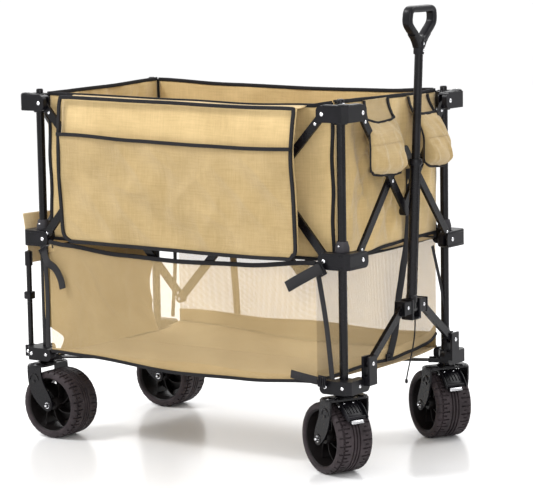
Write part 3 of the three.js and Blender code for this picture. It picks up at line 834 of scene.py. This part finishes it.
def upper_basket():
    near = cloth("wall_near", long_wall(-1, RIM_NEAR), CANVAS, "near_side")
    far = cloth("wall_far", long_wall(1, RIM_FAR), CANVAS, "far_side")
    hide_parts("basket_near")
    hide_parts("basket_far")
    front = cloth("wall_front", end_wall(1, RIM_FRONT, BASE_FRONT), CANVAS, "front_end")
    rear = cloth("wall_rear", end_wall(-1, RIM_REAR, BASE_REAR), CANVAS, "rear_end")
    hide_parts("basket_front")
    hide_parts("basket_rear")
    for side, obj, rim in ((-1, near, RIM_NEAR), (1, far, RIM_FAR)):
        name = "near" if side < 0 else "far"
        body = f"{name}_side"
        spots = range(-WALL_X, WALL_X + 1, 24)
        line = [Vector((x, side * WALL_Y, between(rim, x))) for x in spots]
        rim_tape = tape(f"rim_{name}", line, body, 6, 9, (0, 0, 1))
        low = [Vector((x, side * WALL_Y, FLOOR_Z - 1)) for x in spots]
        base_tape = tape(f"base_{name}", low, body, 6, 8, (0, 0, 1))
        corners = []
        for end in (-1, 1):
            rise = between(rim, end * WALL_X) - FLOOR_Z
            bend = [Vector((end * (WALL_X + 1 + 1.8 * math.sin(k * 1.3 + end)),
                            side * (WALL_Y + 1), FLOOR_Z + rise * k / 12)) for k in range(13)]
            corners.append(sweep(curve(bend, 3), band(9, 5), (0, side, 0)))
        seams = piece(f"corner_tapes_{name}", join(*corners), BINDING, body, 50)
        floor = cloth(f"floor_{name}", half_floor(
            side, FLOOR_Z + 1, WALL_X, WALL_Y - 1, 4 + side), LINING, body)
        for each in (obj, rim_tape, base_tape, seams, floor):
            fold_along(each)
    for end, obj, rim, base in ((1, front, RIM_FRONT, BASE_FRONT),
                                (-1, rear, RIM_REAR, BASE_REAR)):
        name = "front" if end > 0 else "rear"
        body = f"{name}_end"
        spots = [-END_HALF + 2 * END_HALF * k / 20 for k in range(21)]
        line = [Vector((end * END_X, y, between(rim, y))) for y in spots]
        rim_tape = tape(f"rim_{name}", line, body, 6, 9, (0, 0, 1))
        low = [Vector((end * END_X, y, between(base, y) - 1)) for y in spots]
        base_tape = tape(f"base_{name}", low, body, 6, 8, (0, 0, 1))
        for each in (obj, rim_tape, base_tape):
            fold_across(each)


# ---- storage panel on the near side --------------------------------------------------------------
PANEL_Y = 275
PANEL_LEFT, PANEL_RIGHT = -349, 363
PANEL_WIDE = PANEL_RIGHT - PANEL_LEFT
PANEL_BASE = [(-349, 524), (-200, 520), (0, 519), (200, 517), (363, 520)]
POCKET_TOP = [(-349, 792), (-100, 788), (100, 780), (363, 784)]
PANEL_TOP = [(-349, 885), (0, 881), (200, 877), (363, 878)]


def panel_edges(z):
    """Left and right edge at height z. The lower left corner is round, the right one chamfered."""
    left, right = PANEL_LEFT, PANEL_RIGHT
    low = z - 520
    if low < 26:
        left += 26 - math.sqrt(max(0, 26 ** 2 - (26 - low) ** 2))
    if low < 18:
        right -= 18 - low
    return left + 2.2 * math.sin(z / 38), right + 1.6 * math.sin(z / 45)


def panel_point(out, base, top, seed, crease):
    def point(s, t):
        x = PANEL_LEFT + PANEL_WIDE * s
        z = between(base, x) + (between(top, x) - between(base, x)) * t
        left, right = panel_edges(z)
        x = left + (right - left) * s
        pinned = (math.sin(math.pi * s) * math.sin(math.pi * t)) ** 0.5
        slant = noise.noise(Vector(((x + 1.2 * z) / 125, (x - z) / 420, seed)))
        cross = noise.noise(Vector(((x - 0.8 * z) / 150, (x + z) / 300, seed + 4)))
        middle_crease = math.exp(-((x + 20 - (z - 650) * 0.12) / 16) ** 2) * math.sin(math.pi * t)
        folds = crease * (0.9 * fold_noise(x, z, seed, 190, 260) + 0.8 * (1 - 4.5 * abs(slant))
                          + 0.5 * (1 - 4.5 * abs(cross)) - 0.6 * middle_crease)
        lean = 16 * min(1, (880 - z) / 95) - 15 * max(0, (785 - z) / 265)
        return x, -(PANEL_Y + out + lean + pinned * (2 + folds)), z
    return point


def storage_panel():
    body = "near_side"
    width = PANEL_WIDE * MM
    back = cloth("panel_back", grid(
        panel_point(0, PANEL_BASE, PANEL_TOP, 31, 1.0), 80, 44, width, 0.36), CANVAS, body)
    # The pocket is the canvas darkened with painted shade.
    pocket = cloth("panel_pocket",
                   grid(panel_point(12, PANEL_BASE, POCKET_TOP, 37, 6.5), 120, 66, width, 0.265),
                   SHADED_CANVAS, body)

    def over_rim(s, t):
        x = PANEL_LEFT + PANEL_WIDE * s
        z = between(RIM_NEAR, x) * (1 - t) + between(PANEL_TOP, x) * t
        return x, -WALL_Y - 2 - (PANEL_Y - WALL_Y - 1) * t, z - 3 * math.sin(math.pi * t)
    hem = cloth("panel_hem", grid(over_rim, 60, 6, width, 0.046), CANVAS, body)

    def y_at(z):
        """Where the bindings lie: just outside the pocket."""
        return -(PANEL_Y + 14 + 16 * min(1, max(0, (880 - z) / 95)) - 15 * max(0, (785 - z) / 265))

    spots = [PANEL_LEFT + PANEL_WIDE * k / 40 for k in range(41)]
    mouth = [Vector((x, y_at(785) - 3 - 2 * math.sin((x - PANEL_LEFT) / 240),
                     between(POCKET_TOP, x) + 2 * math.sin(x / 60))) for x in spots]
    mouth_tape = tape("panel_pocket_tape", mouth, body, 9, 3.2, (0, -1, 0))
    border = [(PANEL_LEFT + 26, 519.5)]
    border += [(x, between(PANEL_BASE, x) - 1) for x in (-240, -120, 0, 120, 240, 320)]
    border += [(PANEL_RIGHT - 18, 519), (PANEL_RIGHT - 8, 529), (PANEL_RIGHT, 540)]
    border += [(panel_edges(z)[1], z) for z in (600, 680, 760, 840)]
    border += [(PANEL_RIGHT, 872)]
    border += [(x, between(PANEL_TOP, x)) for x in (350, 240, 120, 0, -120, -240, -335)]
    border += [(PANEL_LEFT, 880)]
    border += [(panel_edges(z)[0], z) for z in (840, 760, 680, 600)]
    border += [(PANEL_LEFT, 550), (PANEL_LEFT + 7, 531)]
    border = [(x, y_at(z), z) for x, z in border]
    line = curve([*border, border[0]], 4)[:-1]
    edge = piece("panel_piping", sweep(line, band(9, 6), (0, -1, 0), closed=True), BINDING, body,
                 50)
    for each in (back, pocket, hem, mouth_tape, edge):
        fold_along(each)


# ---- pouches on the front ------------------------------------------------------------------------
POUCH_X = 499  # the pouches' backs where they hang free


def link_top(y):
    """Height of the end links' centre line at y."""
    return 866 - (201 - abs(y)) * 1.274


def pouch_back(y, z):
    """How far out the pouch's back hangs: it slopes from the rim until it clears the end links."""
    top, clear = 886, link_top(y) + 15
    t = max(0, min(1, (top - z) / (top - clear)))
    return END_X + 7 + (POUCH_X - END_X - 7) * t * t * (3 - 2 * t)


def pouch(name, y0, y1, z0, seam_z, z1, depth, scoop, shift, narrow):
    """A hanging pouch: a scooped, bound mouth, a flat upper part, and a gathered lower part that
    bulges. Towards the rim it shifts along the wall by shift and loses a share narrow of its width."""
    wide, mid = y1 - y0, (y0 + y1) / 2

    def hang(y, z):
        """y of the pouch at height z, and how far out its back is there."""
        back = pouch_back(mid - shift * 0.6, z)
        rise = (POUCH_X - back) / (POUCH_X - END_X - 7)
        return mid + (y - mid) * (1 - narrow * rise) + shift * rise, back

    def shell(s, t):
        """Round the front of the pouch from one back edge to the other, from the bottom up."""
        angle = math.pi * s
        round_out = math.sin(angle) ** 0.6
        z = z0 + (z1 - z0) * t
        low = max(0, min(1, (seam_z - z) / (seam_z - z0)))
        belly = math.sin(math.pi * min(1, 0.12 + low * 0.62)) if low > 0 else 0.37
        out = depth * (0.25 + 0.75 * belly) * (1 - 0.9 * max(0, (low - 0.7) / 0.3) ** 2)
        half = wide / 2 * (1 - 0.06 * max(0, (low - 0.8) / 0.2) ** 2 + 0.02 * belly)
        y, back = hang(mid - half * math.copysign(abs(math.cos(angle)) ** 0.5, math.cos(angle)), z)
        ridge = 1 - 5 * abs(noise.noise(Vector(((y + z * 0.4) / 30, z / 90, depth))))
        crease = 1 - 4 * abs(noise.noise(Vector((y / 22, (z + y) / 34, depth + 3))))
        pleat = (2.2 * noise.noise(Vector((y / 16, z / 60, depth))) + 2.6 * ridge + 2.2 * crease) * (
            0.4 + low)
        gather = 2.2 * math.cos(y / 5.5) * max(0, 1 - abs(z - seam_z + 12) / 16) * (low > 0)
        x = back + (out + pleat + gather) * round_out
        sag = 11 * low ** 2 * math.sin(angle) + 7 * low * (y - mid) / wide
        lip = scoop * max(0, 1 - abs(2 * s - 0.9)) * max(0, (t - 0.7) / 0.3)
        return x, y, z - sag - lip

    def back_point(s, t):
        z = z0 - 2 + (between(RIM_FRONT, mid) - z0) * t
        y, back = hang(y0 + wide * s, z)
        return back - 1.5 + 1.5 * noise.noise(Vector((y / 30, z / 50, 3))), y, z

    body = "front_end"
    # The pouches are the canvas darkened with painted shade.
    front = cloth(f"pouch_{name}", grid(shell, 60, 44, 0.2, (z1 - z0) * MM), SHADED_CANVAS, body,
                  1.1)
    back = cloth(f"pouch_back_{name}", grid(back_point, 24, 40, wide * MM, 0.19), SHADED_CANVAS, body,
                 1.1)
    lip = [Vector(shell(k / 30, 1)) + Vector((0.6, 0, 0)) for k in range(31)]
    parts = [sweep(lip, band(8, 2.6), (1, 0, 0.25))]
    for y, sign in ((y0, -1), (y1, 1)):
        low_z = z0 if sign < 0 else z1 - 6
        high_z = between(RIM_FRONT, mid) - 3
        down = []
        for z in (high_z + (low_z - high_z) * k / 8 for k in range(9)):
            edge_y, back_x = hang(y, z)
            down.append((back_x + 2.5, edge_y, z))
        parts.append(sweep(curve(down, 3), band(8, 4), (1, 0, 0.4)))
    under = [Vector(shell(k / 16, 0)) + Vector((1.5, 0, -1.5)) for k in range(17)]
    parts.append(sweep(under, band(6, 4.5), (0.3, 0, -1)))
    trim = piece(f"pouch_tape_{name}", join(*parts), BINDING, body, 50)
    level = (seam_z - z0) / (z1 - z0)
    seam = [Vector(shell(k / 30, level)) + Vector((0.9, 0, 0)) for k in range(31)]
    stitch = piece(f"pouch_seam_{name}", sweep(seam, band(2.2, 1.6), (0, 0, 1)), LINING, body,
                   50)
    for each in (front, back, trim, stitch):
        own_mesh(each)


# ---- lower compartment ---------------------------------------------------------------------------
NET_Y, NET_X = 274.5, 410
NET_TOP = [(-410, 512), (-366, 507), (-180, 493), (0, 489), (200, 494), (410, 512)]
NET_BASE = [(-410, 229), (-300, 226), (0, 209), (200, 213), (410, 226)]
DECK_Z = 212


def net_wall(side):
    def point(s, t):
        x = across(NET_X, s)
        low, top = between(NET_BASE, x), between(NET_TOP, x)
        slack = math.sin(math.pi * s) ** 0.6 * math.sin(math.pi * t)
        return x, side * (NET_Y + slack * 4 * fold_noise(x, low, 50 + side, 170, 300)), low + (
            top - low) * t
    return grid(point, 80, 22, 2 * NET_X * MM, 0.28)


FRONT_BASE = [(-275, 228), (-40, 233), (60, 229), (150, 235), (240, 243), (275, 262)]


def net_front(s, t):
    y = across(NET_Y, s)
    top, low = 506 + 6 * abs(2 * s - 1) ** 2, between(FRONT_BASE, y)
    slack = math.sin(math.pi * s) ** 0.6 * math.sin(math.pi * t)
    return NET_X + slack * 4 * fold_noise(y, t * 300, 60), y, low + (top - low) * t


def rear_flap(s, t):
    """Loose canvas at the rear of the lower deck. Its near edge is pulled in low down and wraps
    round the rear post; its far edge is free and curved."""
    left = -270 + 30 * math.exp(-((t - 0.14) / 0.11) ** 2)
    right = 118 + 46 * (2 * t - 0.95) ** 2
    y = left + (right - left) * s
    z = 219 + (500 - 219) * t
    ridge = 1 - 5 * abs(noise.noise(Vector(((y + z) / 90, (y - z) / 260, 75))))
    folds = 9 * fold_noise(y, z, 71, 80, 240) + 7 * ridge + 5 * math.sin(y / 40 + z / 90) * (1 - t)
    wrap = 36 * max(0, 1 - s / 0.12) * max(0, min(1, (z - 262) / 30)) * (z < 486)
    return -NET_X + 12 + folds * math.sin(math.pi * t) ** 0.5 * min(1, 4 * s) - wrap, y, z


def lower_compartment():
    sheets = []
    for side, name in ((-1, "near"), (1, "far")):
        body = f"{name}_side"
        net = cloth(f"net_{name}", net_wall(side), NET, body, 0)
        spots = [-NET_X + 2 * NET_X * k / 40 for k in range(41)]
        top = [Vector((x, side * (NET_Y + 0.5), between(NET_TOP, x))) for x in spots]
        low = [Vector((x, side * (NET_Y + 0.5), between(NET_BASE, x))) for x in spots]
        bands = [tape(f"net_top_{name}", top, body, 11, 4, (0, side, 0)),
                 tape(f"net_base_{name}", low, body, 8, 6, (0, side, 0))]
        hem_top = 236 if side < 0 else 262

        def low_edge(s, t, side=side, hem_top=hem_top):
            x = across(NET_X, s)
            z = between(NET_BASE, x)
            return x, side * (NET_Y - 2), z + t * (hem_top + 3 * math.sin(14 * s) - z)
        hem = cloth(f"net_hem_{name}", grid(low_edge, 80, 4, 2 * NET_X * MM, 0.03), LINING, body)
        floor = cloth(f"deck_floor_{name}", half_floor(
            side, DECK_Z + 6, NET_X - 1, NET_Y - 2.6, 14 + side, NET_BASE), LINING, body)
        sheets += [net, *bands, hem, floor]
    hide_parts("lower_compartment")
    for each in sheets:
        fold_along(each)

    net = cloth("net_front", grid(net_front, 48, 22, 2 * NET_Y * MM, 0.285), NET, "front_end",
                0)
    spots = [-NET_Y + 2 * NET_Y * k / 24 for k in range(25)]
    top = [Vector((NET_X, y, 506 + 6 * abs(y / NET_Y) ** 2)) for y in spots]
    low = [Vector((NET_X, y, between(FRONT_BASE, y))) for y in spots]
    bands = [tape("net_top_front", top, "front_end", 7, 4, (1, 0, 0)),
             tape("net_base_front", low, "front_end", 8, 5, (1, 0, 0))]
    hem = cloth("net_hem_front", grid(lambda s, t: (
        NET_X - 2, across(NET_Y, s), between(FRONT_BASE, across(NET_Y, s)) + 24 * t),
        40, 4, 2 * NET_Y * MM, 0.024), LINING, "front_end")
    flap = cloth("rear_flap", grid(rear_flap, 60, 44, 0.38, 0.27), LINING, "rear_end")
    top = [Vector((-NET_X + 10, y, 500)) for y in spots]
    low = [Vector((-NET_X + 10, y, 218)) for y in spots]
    ends = [tape("rear_top_band", top, "rear_end", 9, 4, (1, 0, 0)),
            tape("rear_base_band", low, "rear_end", 8, 5, (1, 0, 0))]
    for each in (net, *bands, hem, flap, *ends):
        fold_across(each)


# ---- webbing straps and buckles ------------------------------------------------------------------
WEBBING_THICK = 2.0
BUCKLE_HALF = 2.5  # half the thickness of a buckle


def strap(name, points, body, width, up):
    shape = sweep(curve(points, 5), band(width, WEBBING_THICK), up)
    return piece(name, shape, WEBBING, body, 50)


def buckle(place, turn, width, height=22):
    """Ladder-lock buckle: a frame with two cross bars."""
    w, h, d = width / 2 + 4, height / 2, BUCKLE_HALF
    parts = [rounded_box((x, -d, -h), (x + 4, d, h), 1.2) for x in (-w, w - 4)]
    parts += [rounded_box((-w + 2, -d, z - 2), (w - 2, d, z + 2), 1.2)
              for z in (-h + 2, -h / 3, h / 3, h - 2)]
    return moved(join(*parts), Matrix.Translation(place) @ turn)


def upright_strap(name, body, low, high, up, width=14):
    """Webbing that ties the slider to the bottom bracket."""
    mid = [low[k] + (high[k] - low[k]) * 0.5 + (6 if k == 1 else 0) for k in range(3)]
    made = strap(name, [low, mid, high], body, width, up)
    fold_down(made)


def straps():
    near_out = -(POST_Y + 46)
    upright_strap("strap_near_front", "corner_near_front", (452, near_out + 8, 236),
                  (418, near_out + 2, 498), (0, -1, 0))
    upright_strap("strap_near_rear", "corner_near_rear", (-425, near_out + 8, 236),
                  (-424, near_out + 4, 498), (0, -1, 0))
    upright_strap("strap_far_front", "corner_far_front", (470, POST_Y + 10, 240),
                  (452, POST_Y - 46, 500), (1, 0, 0), 12)
    upright_strap("strap_far_rear", "corner_far_rear", (-440, POST_Y + 44, 236),
                  (-425, POST_Y + 42, 498), (0, 1, 0), 12)
    far_line = [(-233, NET_Y + 5, 478), (-230, NET_Y + 6, 400), (-224, NET_Y + 6, 320),
                (-218, NET_Y + 5, 226)]
    fold_along(strap("strap_far_middle", far_line, "far_side", 22, (0, 1, 0)))
    # strap from the basket's front down to the front edge of the deck
    line = [(453, 80, 706), (452, 81, 660), (452, 80, 613), (450, 73, 529), (444, 62, 462),
            (439, 60, 425), (434, 56, 385), (424, 55, 303), (417, 50, 262), (415, 40, 236)]
    centre = strap("strap_front_centre", line, "front_end", 20, (1, -0.4, 0))
    hook = buckle((416, 38, 238), Matrix.Rotation(math.pi / 2, 4, "Z"), 20, 18)
    hook = piece("strap_front_hook", hook, PLASTIC, "front_end")
    for each in (centre, hook):
        fold_across(each)
    # tails and buckles at the near corners
    strap("tail_near_front", [
        (436, -282, 504), (420, -288, 497), (396, -292, 484), (366, -292, 468), (337, -291, 452)],
        "slider_near_front", 27, (0, -1, 0))
    piece("buckle_near_front", buckle((430, -284, 500), Matrix.Rotation(-0.5, 4, "Y")
          @ Matrix.Rotation(math.pi / 2, 4, "Y"), 26), PLASTIC, "slider_near_front")
    strap("tail_near_rear", [
        (-424, -282, 500), (-412, -290, 478), (-398, -296, 462), (-378, -291, 446), (-366, -286, 420),
        (-358, -288, 396)], "slider_near_rear", 21, (0, -1, 0))
    piece("buckle_near_rear", buckle((-421, -285, 486), Matrix.Rotation(-0.5, 4, "Y"), 16), PLASTIC,
          "slider_near_rear")
    strap("tail_near_front_low", [
        (418, -287, 232), (396, -291, 236), (370, -293, 240), (345, -291, 243)],
        "corner_near_front", 20, (0, -1, 0))
    piece("buckle_near_front_low", buckle((430, -285, 231), Matrix.Rotation(math.pi / 2 + 0.1, 4, "Y"),
          20), PLASTIC, "corner_near_front")


# ---- rear gate -----------------------------------------------------------------------------------
GATE_X = POST_X + 50
GATE_ARM_Y = 240


def rear_gate():
    """Canvas flap held between the two gate arms at the rear."""
    def point(s, t):
        y = -236 + 472 * s
        z = 446 + 124 * t
        lean = 20 * t ** 1.3
        return -(GATE_X + 1 + lean * (0.75 + 0.25 * math.cos(2 * math.pi * s))
                 + 5 * fold_noise(y, z, 88, 90, 120) * t), y, z + 4 * math.cos(2 * math.pi * s) * t
    # The flap is the canvas lightened with painted light.
    flap = cloth("gate_flap", grid(point, 60, 20, 0.472, 0.13), LIT_CANVAS, "gate_arm_near")
    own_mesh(flap)
    for side, name in ((-1, "near"), (1, "far")):
        y = side * GATE_ARM_Y
        clip = rounded_box((-GATE_X - 11, y - 11, 352), (-GATE_X + 11, y + 11, 372), 3)
        sleeve = shifted(lathe(
            [(7.6, 440), (10, 440), (10, 476), (0, 480), (0, 472), (7.6, 471)], 20, True),
            (-GATE_X, y, 0))
        piece(f"gate_clip_{name}", join(clip, sleeve), PLASTIC, f"gate_arm_{name}")


# ---- handle --------------------------------------------------------------------------------------
PIVOT = Vector((505, 0, 372))
LEAN = math.radians(2.5)


def on_handle(shape):
    """Moves a shape from the upright handle's frame (pivot at 0) to its place."""
    return placed(shape, PIVOT, LEAN, "Y")


def grip():
    """D-grip: one closed loop of soft-edged bar on a round neck."""
    half = [(0, 657), (14, 661), (28, 673), (46, 688), (54.5, 700), (54.5, 716), (51, 726),
            (41, 731), (20, 731), (0, 731)]
    loop = half[:-1] + [(-y, z) for y, z in half[:0:-1]]
    line = curve([Vector((0, y, z)) for y, z in [*loop, loop[0]]], 5)[:-1]
    section = [(12.6 * math.copysign(abs(math.cos(a)) ** 0.6, math.cos(a)),
                8.4 * math.copysign(abs(math.sin(a)) ** 0.6, math.sin(a)))
               for a in (2 * math.pi * k / 20 for k in range(20))]
    bar = sweep(line, section, [(p - Vector((0, 0, 699))).normalized() for p in line], closed=True)
    neck = lathe([
        (0, 622), (12.6, 622), (13.2, 626), (13.2, 644), (14, 656), (12, 664), (0, 664)], 32)
    hip = []
    for way in (-1, 1):
        fillet = [Vector((0, way * y, z)) for y, z in ((7, 640), (13, 651), (22, 662), (33, 672))]
        hip.append(sweep(fillet, [(a * 0.93, o * 0.8) for a, o in section], (0, way, -1)))
    made = piece("grip", on_handle(join(bar, neck, *hip)), PLASTIC, "handle_slide",
                 60)
    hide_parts("handle_grip")
    screws = [rivet((12.6, 2, z), (1, 0, 0), 3.6, 1.6) for z in (631, 648)]
    piece("grip_screws", on_handle(join(*screws)), STEEL, "handle_slide")


def handle_details():
    grip()
    collar = [lathe(
        [(10.9, 354), (15.4, 354), (16, 357), (16, 366), (14.5, 369), (10.9, 369)], 32, True),
        rounded_box((13, -4, 357), (18, 4, 366), 1.6)]
    piece("handle_collar", on_handle(join(*collar)), PLASTIC, "handle")
    flats = [rounded_box((9.4, y - 0.7, 372), (10.3, y + 0.7, 620), 0.25, 1) for y in (-2.6, 2.6)]
    piece("inner_tube_ribs", on_handle(join(*flats)), PAINT, "handle_slide")
    foot = lathe([(12.9, 16), (14, 17), (14, 33), (12.9, 34)], 32, True)
    crease = [rounded_box((12.1, y - 0.8, 36), (13.1, y + 0.8, 350), 0.3, 1) for y in (-3.2, 3.2)]
    piece("handle_foot", on_handle(join(foot, *crease)), PAINT, "handle")
    lip = shifted(lathe([(0, 0), (18, 0), (21, 1.6), (21, 4), (18, 5.4), (0, 5.4)], 36),
                  (504, 0, 346.4))
    ridges = [rounded_box((489.6, y - 2, 360), (520.4, y + 2, 395.6), 1) for y in (-51, 51)]
    piece("block_trim", join(lip, *ridges), PLASTIC, "handle_block")
    pins = [rivet((519, y, 379), (1, 0, 0), 4.2, 2.4) for y in (-36, 37)]
    pins += [rivet((505, way * 20, 372), (0, way, 0), 5, 1.6) for way in (-1, 1)]
    piece("handle_pins", join(*pins), STEEL, "handle_block")


# ---- floor and lights ----------------------------------------------------------------------------
LIGHTS = (  # name, place in metres, size in metres, power in watts
    ("key", (-2.6, -2.6, 4.4), 1.2, 175), ("fill", (3.2, -3.0, 1.9), 2.4, 75),
    ("rim", (-1.5, 3.2, 3.6), 2.4, 60), ("floor_wash", (2.4, 2.4, 4.2), 2.6, 110),
)
AIMED_AT = Vector((0, 0, 0.45))


def studio():
    bpy.ops.mesh.primitive_plane_add(size=80, location=(0, 0, 0))
    floor = bpy.context.object
    floor.name = "studio_floor"
    made, tree, shader = material("studio floor", 0.2)
    where = node(tree, "ShaderNodeTexCoord").outputs["Object"]
    tree.links.new(ramp(tree, noise_field(tree, where, 0.8), 0.3, 0.7, (0.885, 0.885, 0.89),
                        (0.905, 0.905, 0.91)), shader.inputs["Base Color"])
    floor.data.materials.append(made)
    # white studio: bright behind the wagon and from the left, darker in front of its handle end
    world = bpy.data.worlds.new("studio")
    world.use_nodes = True
    tree = world.node_tree
    split = node(tree, "ShaderNodeSeparateXYZ")
    tree.links.new(node(tree, "ShaderNodeTexCoord").outputs["Generated"], split.inputs["Vector"])
    shade = node(tree, "ShaderNodeMapRange")
    set_inputs(shade, {"From Min": -0.1, "From Max": 0.85, "To Min": 1.12, "To Max": 0.72})
    tree.links.new(split.outputs["X"], shade.inputs["Value"])
    tree.links.new(shade.outputs["Result"], tree.nodes["Background"].inputs["Strength"])
    tree.nodes["Background"].inputs["Color"].default_value = (1, 1, 1, 1)
    bpy.context.scene.world = world
    bpy.context.scene.view_settings.view_transform = "Standard"
    for name, place, size, power in LIGHTS:
        data = bpy.data.lights.new(name, "AREA")
        data.size = size
        data.energy = power
        light = bpy.data.objects.new(name, data)
        light.location = place
        aim = (AIMED_AT - light.location).to_track_quat("-Z", "Y")
        light.rotation_euler = aim.to_euler()
        bpy.context.scene.collection.objects.link(light)


add_camera()
pull_cord()
for corner_name in CORNERS:
    wheel(corner_name)
    caster(corner_name)
    corner_details(corner_name)
link_rivets()
upper_basket()
storage_panel()
pouch("near", -170, -34, 722, 786, 846, 27, 13, 42, 0.22)
pouch("far", 74, 176, 722, 784, 842, 30, 2, 8, 0.1)
lower_compartment()
straps()
rear_gate()
handle_details()
finish_cad_nodes()
studio()
